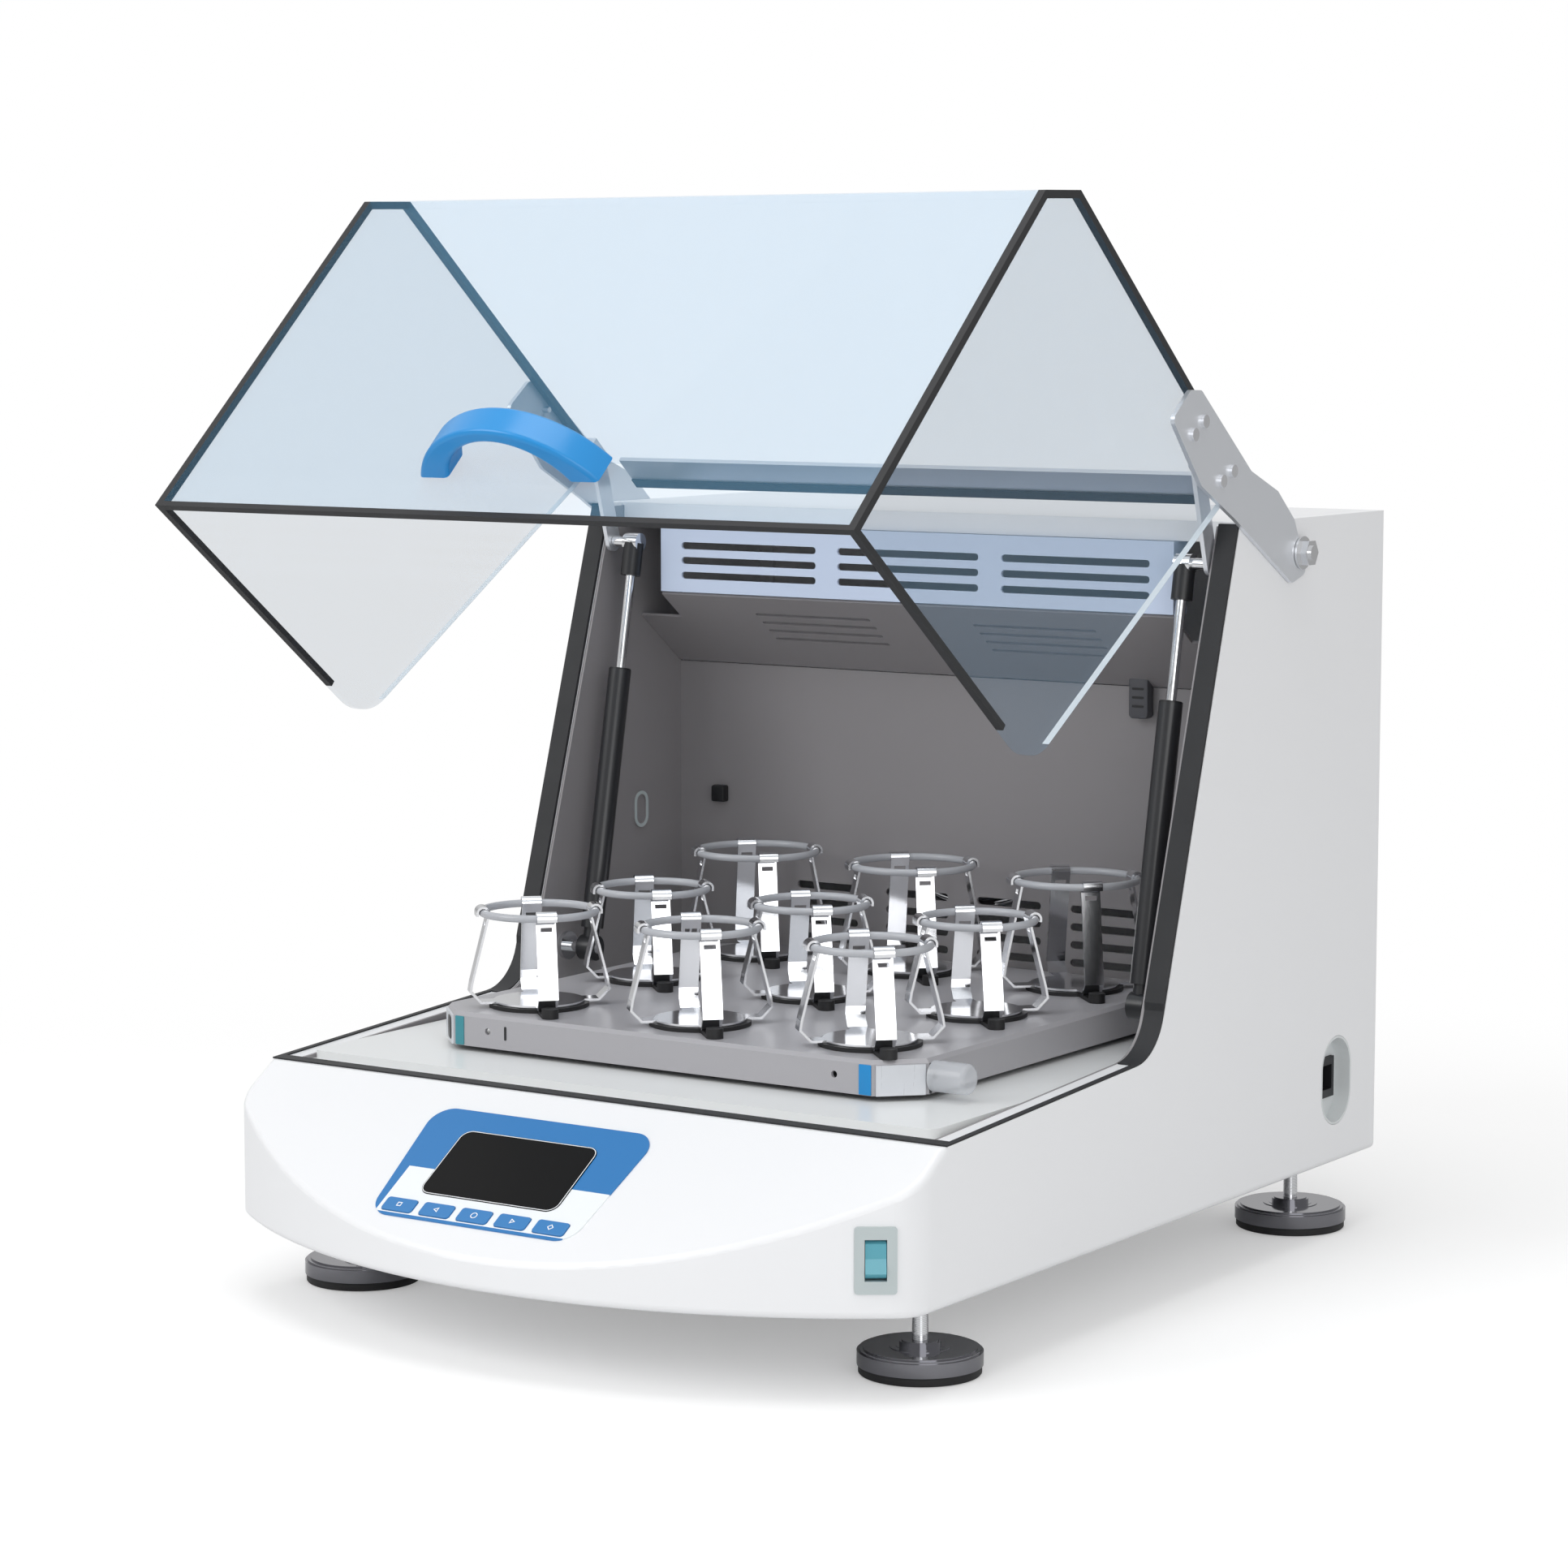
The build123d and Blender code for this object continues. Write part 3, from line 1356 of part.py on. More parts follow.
# ================================================================ flask clamps
clamp_floor = up(platform_top_height) + clamp_pad_sheet
small_places = [(x, ahead(row), clamp_floor) for row in clamp_front_rows for x in clamp_columns]
large_places = [(x, ahead(clamp_rear_row), clamp_floor) for x in clamp_columns]


def clamp_leg(ring_radius, rise, turn):
    """One sprung leg: out from the disc, up and inward, and hooked over the ring."""
    bow = ring_radius - sqrt(ring_radius**2 - (clamp_leg_width / 2) ** 2)
    hook_radius = ring_radius - bow / 2
    grip = ring_tube + bow / 2 + seat_gap + clamp_strip / 2
    hook_top = rise - clamp_pad_sheet
    middle = clamp_strip / 2
    inner = (hook_radius - grip, hook_top)
    outer = (hook_radius + grip, hook_top)
    radial = Plane.XZ.rotated((0, 0, turn))
    foot_radius = clamp_foot_radius + ring_radius - small_ring_radius
    with BuildSketch(radial) as strip:
        with BuildLine():
            Polyline(
                (clamp_disc_radius - leg_overlap, middle),
                (foot_radius - leg_bend, middle),
                (foot_radius, leg_bend_height),
                (foot_radius - leg_lean, leg_lean_height),
                inner,
            )
            ThreePointArc(inner, (hook_radius, hook_top + grip), outer)
            Line(outer, (outer[0], hook_top - hook_tip))
        trace(line_width=clamp_strip)
    extrude(strip.sketch, amount=clamp_leg_width / 2, both=True)
    with BuildSketch(Plane.XY.offset(hook_top - clamp_slot_drop)) as slot:
        with Locations(Location((0, 0, 0), (0, 0, turn))):
            with Locations((hook_radius - grip, 0.0)):
                Rectangle(clamp_slot_cut, clamp_slot_width)
    extrude(slot.sketch, amount=clamp_slot_height, mode=Mode.SUBTRACT)


def clamp_frame(ring_radius, rise):
    """A clamp's steel frame, standing at the origin."""
    with BuildPart() as frame:
        Cylinder(clamp_disc_radius, clamp_strip, align=(Align.CENTER, Align.CENTER, Align.MIN))
        for leg in range(clamp_legs):
            clamp_leg(ring_radius, rise, (leg + 0.5) * 360 / clamp_legs)
    return frame.part


def clamp_ring(ring_radius, rise):
    """The sleeved spring ring that draws the legs in."""
    with BuildPart() as ring:
        with Locations((0, 0, rise - clamp_pad_sheet)):
            Torus(ring_radius, ring_tube)
    return ring.part


def clamp_pad(ring_radius):
    """The rubber pad under a clamp, with the bump that stands before its front leg."""
    turn = radians(-180 / clamp_legs)
    bump_reach = clamp_foot_radius + ring_radius - small_ring_radius + bump_radius + bump_gap
    with BuildPart() as pad:
        with BuildSketch(Plane.XY.offset(-clamp_pad_sheet)):
            Circle(clamp_pad_radius)
            with BuildLine():
                Line((0, 0), (bump_reach * cos(turn), bump_reach * sin(turn)))
            trace(line_width=2 * bump_radius)
        extrude(amount=clamp_pad_sheet - seat_gap)
        with BuildSketch(Plane.XY.offset(-clamp_pad_sheet)):
            with Locations((bump_reach * cos(turn), bump_reach * sin(turn))):
                Circle(bump_radius)
        extrude(amount=bump_height)
    return pad.part


def clamp_group(small, large):
    """Six small and three large copies, set out on the platform."""
    with BuildPart() as group:
        with Locations(*small_places):
            add(small)
        with Locations(*large_places):
            add(large)
    return group


save(
    clamp_group(
        clamp_frame(small_ring_radius, small_clamp_rise), clamp_frame(large_ring_radius, large_clamp_rise)
    ),
    "flask_clamps",
)
save(
    clamp_group(
        clamp_ring(small_ring_radius, small_clamp_rise), clamp_ring(large_ring_radius, large_clamp_rise)
    ),
    "clamp_rings",
)
save(
    clamp_group(clamp_pad(small_ring_radius), clamp_pad(large_ring_radius)),
    "clamp_pads",
)

# ================================================================ feet
foot_names = ("foot_front_left", "foot_front_right", "foot_rear_left", "foot_rear_right")
for name, place in zip(foot_names, foot_places):
    with BuildPart() as foot:
        with BuildSketch(Plane.XY.offset(sole_height)):
            with Locations(place):
                Circle(foot_radius)
        extrude(amount=foot_disc)
        chamfer(foot.edges().group_by(Axis.Z)[-1], foot_chamfer)
        with BuildSketch(Plane.XY.offset(sole_height + foot_disc)):
            with Locations(place):
                Circle(stud_radius)
        extrude(amount=up(stud_top_height) - sole_height - foot_disc)
    with BuildPart() as sole:
        with BuildSketch(Plane.XY):
            with Locations(place):
                Circle(sole_radius)
        extrude(amount=sole_height)
    save_group([foot, sole], name)

with BuildPart() as foot_lock_nuts:
    with BuildSketch(Plane.XY.offset(up(-lock_nut_height))):
        with Locations(*foot_places):
            RegularPolygon(nut_across / 2, 6, major_radius=False)
            Circle(stud_radius + stud_fit, mode=Mode.SUBTRACT)
    extrude(amount=lock_nut_height)
save(foot_lock_nuts, "foot_lock_nuts")

# ================================================================ rear compartment and nose
fan_axis_z = up(fan_height)
with BuildPart() as fan_motor:
    with BuildSketch(Plane.XZ.offset(-ahead(panel_sheet))):
        with Locations((0.0, fan_axis_z)):
            Circle(fan_motor_radius)
    extrude(amount=fan_motor_front - panel_sheet)
    with BuildSketch(Plane.XZ.offset(-ahead(fan_motor_front))):
        with Locations((0.0, fan_axis_z)):
            Circle(fan_shaft_radius + bearing_fit)
    extrude(amount=-(fan_shaft_inside + fan_shaft_end_gap), mode=Mode.SUBTRACT)
save(fan_motor, "fan_motor")

with BuildPart() as fan_impeller:
    with BuildSketch(Plane.XZ.offset(-ahead(fan_rear_depth))):
        with Locations((0.0, fan_axis_z)):
            Circle(fan_hub_radius)
            with PolarLocations(0.0, fan_blades):
                with Locations(((fan_hub_radius + fan_radius) / 2, 0.0)):
                    Rectangle(fan_radius - fan_hub_radius + 2 * fan_blade_overlap, fan_blade_sheet)
    extrude(amount=fan_front_depth - fan_rear_depth)
    with BuildSketch(Plane.XZ.offset(-ahead(fan_rear_depth))):
        with Locations((0.0, fan_axis_z)):
            Circle(fan_radius)
    extrude(amount=fan_blade_sheet)
    with BuildSketch(Plane.XZ.offset(-ahead(fan_rear_depth))):
        with Locations((0.0, fan_axis_z)):
            Circle(fan_shaft_radius)
    extrude(amount=-(fan_rear_depth - fan_motor_front + fan_shaft_inside))
save(fan_impeller, "fan_impeller")

with BuildPart() as heater_element:
    with Locations(Location((0.0, ahead(heater_depth), fan_axis_z), (90, 0, 0))):
        Torus(heater_radius, heater_tube)
    with BuildSketch(Plane.XZ.offset(-ahead(heater_depth))):
        with Locations((heater_radius, fan_axis_z), (-heater_radius, fan_axis_z)):
            Circle(heater_stem)
    extrude(amount=chamber_rear_depth - liner_sheet - heater_depth)
save(heater_element, "heater_element")

with BuildPart() as power_supply:
    with BuildSketch(Plane.XY.offset(up(wall + base_plate_sheet))):
        with Locations((supply_x, ahead(supply_depth))):
            Rectangle(supply_width, supply_length)
    extrude(amount=supply_rise)
save(power_supply, "power_supply")

with BuildPart() as control_board:
    with BuildSketch(Plane.XY.offset(up(board_height))):
        with Locations((panel_centre_x, ahead(board_depth))):
            Rectangle(board_width, board_length)
    extrude(amount=board_sheet)
    with BuildSketch(Plane.XY.offset(up(wall))):
        with Locations((panel_centre_x, ahead(board_depth))):
            with GridLocations(
                board_width - 2 * board_post_inset_x, board_length - 2 * board_post_inset_y, 2, 2
            ):
                Circle(board_post_radius)
    extrude(amount=board_height - wall)
    with BuildSketch(Plane.XY.offset(up(board_height + board_sheet))):
        with Locations((panel_centre_x, ahead(board_depth))):
            with GridLocations(chip_pitch, 0.0, chip_count, 1):
                Rectangle(chip_width, chip_length)
    extrude(amount=chip_height)
save(control_board, "control_board")
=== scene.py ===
"""Looks of an incubated benchtop shaker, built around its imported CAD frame.

Metres, in the CAD's own frame: +X is the right-hand side, -Y the front, +Z up, origin on the bench.
"""

from __future__ import annotations

import logging
from dataclasses import dataclass, field
from enum import Enum
from math import cos, pi, radians, sin
from typing import Callable, Sequence

import bpy
from mathutils import Matrix, Vector


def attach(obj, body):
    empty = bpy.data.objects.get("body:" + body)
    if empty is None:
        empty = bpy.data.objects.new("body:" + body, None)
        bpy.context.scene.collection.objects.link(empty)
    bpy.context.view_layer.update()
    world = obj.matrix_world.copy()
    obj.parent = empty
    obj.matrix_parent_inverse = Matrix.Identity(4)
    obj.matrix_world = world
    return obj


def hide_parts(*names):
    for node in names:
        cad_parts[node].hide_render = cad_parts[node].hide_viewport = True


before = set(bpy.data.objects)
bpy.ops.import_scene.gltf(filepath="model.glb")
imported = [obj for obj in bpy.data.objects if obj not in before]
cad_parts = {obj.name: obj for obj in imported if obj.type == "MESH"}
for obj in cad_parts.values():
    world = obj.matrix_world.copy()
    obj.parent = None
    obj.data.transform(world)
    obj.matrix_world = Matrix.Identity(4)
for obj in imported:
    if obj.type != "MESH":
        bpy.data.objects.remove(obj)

LOG = logging.getLogger("shaker")
MM = 0.001

TOTAL_DEPTH = 690.0
FOOT_HEIGHT = 52.0

RIGHT = Vector((1, 0, 0))
BACK = Vector((0, 1, 0))
UP = Vector((0, 0, 1))

WHITE = (1, 1, 1, 1)
SMOOTH_ANGLE = 32.0
EDGE_ANGLE = 60.0
MERGE_DISTANCE = 1e-6
CORNER_FACETS = 8

# For each step of a turned piece: how far its top is drawn in, then raised, in millimetres.
Profile = Sequence[tuple[float, float]]


def row(x: float, depth: float, height: float) -> Vector:
    """A point in metres, from millimetres measured on the cabinet.

    Args:
        x: Distance to the right of the middle.
        depth: Distance forward of the rear face.
        height: Distance above the cabinet's lower edge.

    Returns:
        The point in the CAD's frame.
    """
    return Vector((x, TOTAL_DEPTH / 2 - depth, FOOT_HEIGHT + height)) * MM


def linear(code: str) -> tuple[float, float, float, float]:
    """Turns an sRGB hex colour into the linear values that shaders take.

    Args:
        code: Six hex digits, such as "C8CCD0".

    Returns:
        Linear red, green, blue and an alpha of one.
    """
    channels = []
    for start in (0, 2, 4):
        value = int(code[start : start + 2], 16) / 255
        channels.append(value / 12.92 if value <= 0.04045 else ((value + 0.055) / 1.055) ** 2.4)
    return (channels[0], channels[1], channels[2], 1.0)


def add_node(
    tree: bpy.types.NodeTree,
    kind: str,
    values: dict[str | int, object] | None = None,
    links: dict[str | int, bpy.types.NodeSocket] | None = None,
    **settings: object,
) -> bpy.types.Node:
    """Adds one shader node with its settings, socket values and links.

    Args:
        tree: The material's node tree.
        kind: The node's type name.
        values: Socket values by name or number.
        links: Sources to link, by the name or number of the socket they go into.
        **settings: Properties of the node itself.

    Returns:
        The new node.
    """
    node = tree.nodes.new(kind)
    for key, value in settings.items():
        setattr(node, key, value)
    for socket, value in (values or {}).items():
        node.inputs[socket].default_value = value
    for socket, source in (links or {}).items():
        tree.links.new(source, node.inputs[socket])
    return node


# ------------------------------------------------------------------ finishes


@dataclass(frozen=True)
class Finish:
    """A surface finish: one material, made when it is first needed."""

    name: str
    colour: str
    roughness: float
    metallic: float = 0.0
    ior: float = 1.5

    def material(self) -> bpy.types.Material:
        """Makes the material, or finds the one made before.

        Returns:
            The material of this finish.
        """
        found = bpy.data.materials.get(self.name)
        if found is not None:
            return found
        made = bpy.data.materials.new(self.name)
        made.use_nodes = True
        tree = made.node_tree
        tree.nodes.clear()
        shader = add_node(
            tree,
            "ShaderNodeBsdfPrincipled",
            {
                "Base Color": linear(self.colour),
                "Roughness": self.roughness,
                "Metallic": self.metallic,
                "IOR": self.ior,
            },
        )
        add_node(tree, "ShaderNodeOutputMaterial", links={"Surface": shader.outputs["BSDF"]})
        coords = add_node(tree, "ShaderNodeTexCoord")
        self.surface(tree, shader, coords.outputs["Object"])
        return made

    def surface(
        self, tree: bpy.types.NodeTree, shader: bpy.types.Node, place: bpy.types.NodeSocket
    ) -> None:
        """Adds what makes the surface more than one flat colour.

        Args:
            tree: The material's node tree.
            shader: Its principled shader.
            place: The object's own coordinates, in metres.
        """

    def roughness_cloud(
        self,
        tree: bpy.types.NodeTree,
        shader: bpy.types.Node,
        place: bpy.types.NodeSocket,
        size_mm: float,
        spread: float,
    ) -> None:
        """Lets the roughness drift in soft patches, as handling and cleaning leave it.

        Args:
            tree: The material's node tree.
            shader: Its principled shader.
            place: Coordinates in metres.
            size_mm: Size of a patch.
            spread: How far the roughness goes each way.
        """
        cloud = add_node(
            tree, "ShaderNodeTexNoise", {"Scale": 1000 / size_mm, "Detail": 3.0}, {"Vector": place}
        )
        satin = add_node(
            tree,
            "ShaderNodeMapRange",
            {"To Min": self.roughness - spread, "To Max": self.roughness + spread},
            {"Value": cloud.outputs[0]},
        )
        tree.links.new(satin.outputs["Result"], shader.inputs["Roughness"])

    def bump(
        self,
        tree: bpy.types.NodeTree,
        shader: bpy.types.Node,
        height: bpy.types.NodeSocket,
        depth_mm: float,
        strength: float,
    ) -> None:
        """Adds a bump of a real depth.

        Args:
            tree: The material's node tree.
            shader: Its principled shader.
            height: The pattern.
            depth_mm: How deep the pattern is.
            strength: How strongly it shows, up to one.
        """
        relief = add_node(
            tree,
            "ShaderNodeBump",
            {"Strength": strength, "Distance": depth_mm * MM},
            {"Height": height},
        )
        tree.links.new(relief.outputs["Normal"], shader.inputs["Normal"])


@dataclass(frozen=True)
class PowderCoat(Finish):
    """Sprayed and baked paint on sheet steel: even colour, satin, with a faint orange peel."""

    peel_mm: float = 2.2
    peel_depth_mm: float = 0.03
    peel_strength: float = 0.35
    patch_mm: float = 90.0
    drift: float = 0.05

    def surface(
        self, tree: bpy.types.NodeTree, shader: bpy.types.Node, place: bpy.types.NodeSocket
    ) -> None:
        """Adds orange peel and a slight drift of the satin."""
        peel = add_node(
            tree,
            "ShaderNodeTexNoise",
            {"Scale": 1000 / self.peel_mm, "Detail": 2.0},
            {"Vector": place},
        )
        self.bump(tree, shader, peel.outputs[0], self.peel_depth_mm, self.peel_strength)
        self.roughness_cloud(tree, shader, place, self.patch_mm, self.drift)


class Grain(Enum):
    """The direction in which a metal was brushed."""

    ALONG_X = (0.04, 1.0, 1.0)
    ALONG_Z = (1.0, 1.0, 0.04)


@dataclass(frozen=True)
class BrushedMetal(Finish):
    """Rolled or brushed metal: fine lines one way, which stretch its highlights."""

    grain: Grain = Grain.ALONG_Z
    line_mm: float = 0.9
    line_depth_mm: float = 0.01
    line_strength: float = 0.25
    spread: float = 0.08

    def surface(
        self, tree: bpy.types.NodeTree, shader: bpy.types.Node, place: bpy.types.NodeSocket
    ) -> None:
        """Adds brushed lines, drawn coarser than real ones so that they show."""
        stretch = add_node(
            tree, "ShaderNodeMapping", {"Scale": self.grain.value}, {"Vector": place}
        )
        lines = add_node(
            tree,
            "ShaderNodeTexNoise",
            {"Scale": 1000 / self.line_mm, "Detail": 4.0},
            {"Vector": stretch.outputs["Vector"]},
        )
        sheen = add_node(
            tree,
            "ShaderNodeMapRange",
            {"To Min": self.roughness - self.spread, "To Max": self.roughness + self.spread},
            {"Value": lines.outputs[0]},
        )
        tree.links.new(sheen.outputs["Result"], shader.inputs["Roughness"])
        self.bump(tree, shader, lines.outputs[0], self.line_depth_mm, self.line_strength)


@dataclass(frozen=True)
class Moulded(Finish):
    """Moulded plastic or rubber: a fine even grain from the tool's surface."""

    grain_mm: float = 0.6
    grain_depth_mm: float = 0.02
    grain_strength: float = 0.4
    patch_mm: float = 25.0
    drift: float = 0.06

    def surface(
        self, tree: bpy.types.NodeTree, shader: bpy.types.Node, place: bpy.types.NodeSocket
    ) -> None:
        """Adds the tool's grain and soft patches from handling."""
        grain = add_node(
            tree,
            "ShaderNodeTexNoise",
            {"Scale": 1000 / self.grain_mm, "Detail": 2.0},
            {"Vector": place},
        )
        self.bump(tree, shader, grain.outputs[0], self.grain_depth_mm, self.grain_strength)
        self.roughness_cloud(tree, shader, place, self.patch_mm, self.drift)


@dataclass(frozen=True)
class ClearAcrylic(Finish):
    """Cast acrylic sheet: nearly clear, with a cold tint and a polished face."""

    alpha: float = 0.2
    patch_mm: float = 160.0
    drift: float = 0.02

    def surface(
        self, tree: bpy.types.NodeTree, shader: bpy.types.Node, place: bpy.types.NodeSocket
    ) -> None:
        """Makes the sheet see-through and lets its polish drift a little."""
        shader.inputs["Alpha"].default_value = self.alpha
        self.roughness_cloud(tree, shader, place, self.patch_mm, self.drift)


@dataclass(frozen=True)
class PrintedFilm(Finish):
    """A polycarbonate overlay printed from behind, with a band of a second colour on it."""

    second: str = "F1F5F8"
    band_x: float = 0.0
    band_half_width: float = 1.0
    band_rear_y: float = 1.0
    band_front_y: float = 0.0
    texture_mm: float = 0.4
    texture_depth_mm: float = 0.01
    texture_strength: float = 0.3

    def surface(
        self, tree: bpy.types.NodeTree, shader: bpy.types.Node, place: bpy.types.NodeSocket
    ) -> None:
        """Prints the band and gives the film its faint texture."""
        parts = add_node(tree, "ShaderNodeSeparateXYZ", links={"Vector": place})
        offset = add_node(
            tree, "ShaderNodeMath", {1: self.band_x}, {0: parts.outputs["X"]}, operation="SUBTRACT"
        )
        distance = add_node(
            tree, "ShaderNodeMath", links={0: offset.outputs[0]}, operation="ABSOLUTE"
        )
        within = add_node(
            tree,
            "ShaderNodeMath",
            {1: self.band_half_width},
            {0: distance.outputs[0]},
            operation="LESS_THAN",
        )
        before = add_node(
            tree,
            "ShaderNodeMath",
            {1: self.band_rear_y},
            {0: parts.outputs["Y"]},
            operation="LESS_THAN",
        )
        behind = add_node(
            tree,
            "ShaderNodeMath",
            {1: self.band_front_y},
            {0: parts.outputs["Y"]},
            operation="GREATER_THAN",
        )
        strip = add_node(
            tree,
            "ShaderNodeMath",
            links={0: before.outputs[0], 1: behind.outputs[0]},
            operation="MULTIPLY",
        )
        band = add_node(
            tree,
            "ShaderNodeMath",
            links={0: strip.outputs[0], 1: within.outputs[0]},
            operation="MULTIPLY",
        )
        inks = add_node(
            tree,
            "ShaderNodeMix",
            {6: linear(self.colour), 7: linear(self.second)},
            {0: band.outputs[0]},
            data_type="RGBA",
        )
        tree.links.new(inks.outputs[2], shader.inputs["Base Color"])
        texture = add_node(
            tree,
            "ShaderNodeTexNoise",
            {"Scale": 1000 / self.texture_mm, "Detail": 1.0},
            {"Vector": place},
        )
        self.bump(tree, shader, texture.outputs[0], self.texture_depth_mm, self.texture_strength)


# White polyester powder coat on the cabinet's steel: satin, cool white.
WHITE_PAINT = PowderCoat("white_powder_coat", "F0F1F3", 0.34)
# The same paint on the floor tray, cleaned often, so a little glossier.
TRAY_PAINT = PowderCoat("white_tray_coat", "EDEFEF", 0.30)
# Grey epoxy powder coat inside the chamber.
LINER_PAINT = PowderCoat("grey_chamber_coat", "8F8C8E", 0.38, drift=0.08)
# Pale blue-grey paint on the air duct, which reads bluish under the lid.
DUCT_PAINT = PowderCoat("pale_duct_coat", "CBD8EE", 0.40)
# Mid-grey satin paint on the platform pan.
PLATFORM_PAINT = PowderCoat("grey_platform_coat", "A9A8AC", 0.32)
# Neoprene strip of the seals and the lid's beads: black, dull, with a closed-cell skin.
SEAL_RUBBER = Moulded("black_neoprene_seal", "1B1C1F", 0.62, grain_mm=1.2, grain_depth_mm=0.05)
# Moulded nitrile rubber of the clamps' pads and the feet's soles.
PAD_RUBBER = Moulded("black_nitrile_rubber", "141416", 0.55)
# Black acetal of sockets, glands and the dark insets.
BLACK_ACETAL = Moulded("black_acetal", "18191C", 0.38)
# Grey vinyl sleeve round the clamps' spring rings: a little glossy.
RING_VINYL = Moulded("grey_vinyl_sleeve", "B4B6BB", 0.22, grain_mm=0.9)
# Cast acrylic sheet with a cold tint.
LID_ACRYLIC = ClearAcrylic("clear_cast_acrylic", "71BDEA", 0.05, ior=1.49, alpha=0.1)
# The lid's sides, painted a shade greyer and less clear than the lid: painted shade, for how they
# look edge-lit.
SHADED_SIDE_ACRYLIC = ClearAcrylic("shaded_side_acrylic", "6088A4", 0.05, ior=1.49, alpha=0.16)
# ABS of the handle, moulded in a clear sky blue.
HANDLE_ABS = Moulded("sky_blue_abs", "1C8CD2", 0.30, grain_mm=0.8, grain_depth_mm=0.01)
# Black glass-filled nylon of the mains inlet.
BLACK_NYLON = Moulded("black_nylon", "1E1F22", 0.42)
# Grey ABS of the switch bezel and the port's rim.
GREY_ABS = Moulded("pale_grey_abs", "BCC6C7", 0.34)
# Lighter ABS of the inlet's cup.
CUP_ABS = Moulded("light_grey_abs", "DADEDF", 0.36)
# Teal translucent rocker, printed as solid.
ROCKER_PLASTIC = Moulded("teal_polycarbonate", "5AA5B5", 0.22)
# Hard-coated acrylic over a dark display.
SCREEN_GLASS = Finish("black_display_window", "0A0A0B", 0.3, ior=1.2)
# Keys of the overlay's own film.
KEY_FILM = Moulded("blue_key_film", "2F7CBC", 0.34, grain_mm=0.4)
# White ink of outlines and symbols.
WHITE_INK = Finish("white_screen_ink", "F4F6F8", 0.5)
# 304 stainless strip, bright rolled.
STAINLESS = BrushedMetal("stainless_304_strip", "E4E5E8", 0.13, metallic=1.0, spread=0.05)
# Rolled zinc-plated steel of brackets and inner sheets.
ZINC_STEEL = BrushedMetal("zinc_plated_steel", "DEE1E6", 0.33, metallic=0.7)
# Anodised aluminium of the rail, the carrier and the impeller.
ANODISED = BrushedMetal(
    "anodised_aluminium", "C9CCD1", 0.32, metallic=0.8, grain=Grain.ALONG_X
)
# Clear-anodised plates on the platform's corners, paler than the pan.
LIGHT_PLATE = BrushedMetal("pale_anodised_plate", "D2D5DA", 0.30, metallic=0.25)
# Chromium plate of rods, studs and bolts.
CHROME = Finish("chromium_plate", "D9DADC", 0.07, metallic=1.0)
# Chromium painted darker on the feet's discs: a painted reflection, for the dark surroundings that
# their polish mirrors.
DARK_REFLECTION_CHROME = Finish("chrome_painted_dark_reflection", "86868B", 0.1, metallic=1.0)
# Dark grey nylon of the air sensor.
SENSOR_NYLON = Moulded("dark_grey_nylon", "505156", 0.5)
# Black stove enamel of the strut cylinders.
BLACK_ENAMEL = PowderCoat("black_stove_enamel", "242528", 0.30, peel_mm=1.5)
# Grey cast iron of the counterweight, coarse from its sand mould.
CAST_IRON = PowderCoat(
    "grey_cast_iron", "4B4C4F", 0.62, metallic=0.7, peel_mm=1.4, peel_depth_mm=0.12
)
# Glass-epoxy circuit board.
BOARD_EPOXY = Moulded("green_glass_epoxy", "1F5A34", 0.4)
# Clear polystyrene of the platform's knob.
KNOB_PLASTIC = ClearAcrylic("clear_knob_styrene", "D5D8DD", 0.14, alpha=0.5)
# Vinyl marker on the platform's right corner.
MARK_BLUE = Moulded("blue_marker_vinyl", "1487C8", 0.35)
# The same blue marker on the left corner, painted teal and darker: painted shade, for the other
# light that falls there.
SHADED_MARK_BLUE = Moulded("shaded_blue_marker_vinyl", "3C8C98", 0.35)
# Near-white strip on the sawn and flame-polished edge of the acrylic: a painted highlight for the
# light that the edge gathers.
EDGE_HIGHLIGHT = Moulded("painted_acrylic_edge_highlight", "E9F1F6", 0.12, grain_mm=1.5)

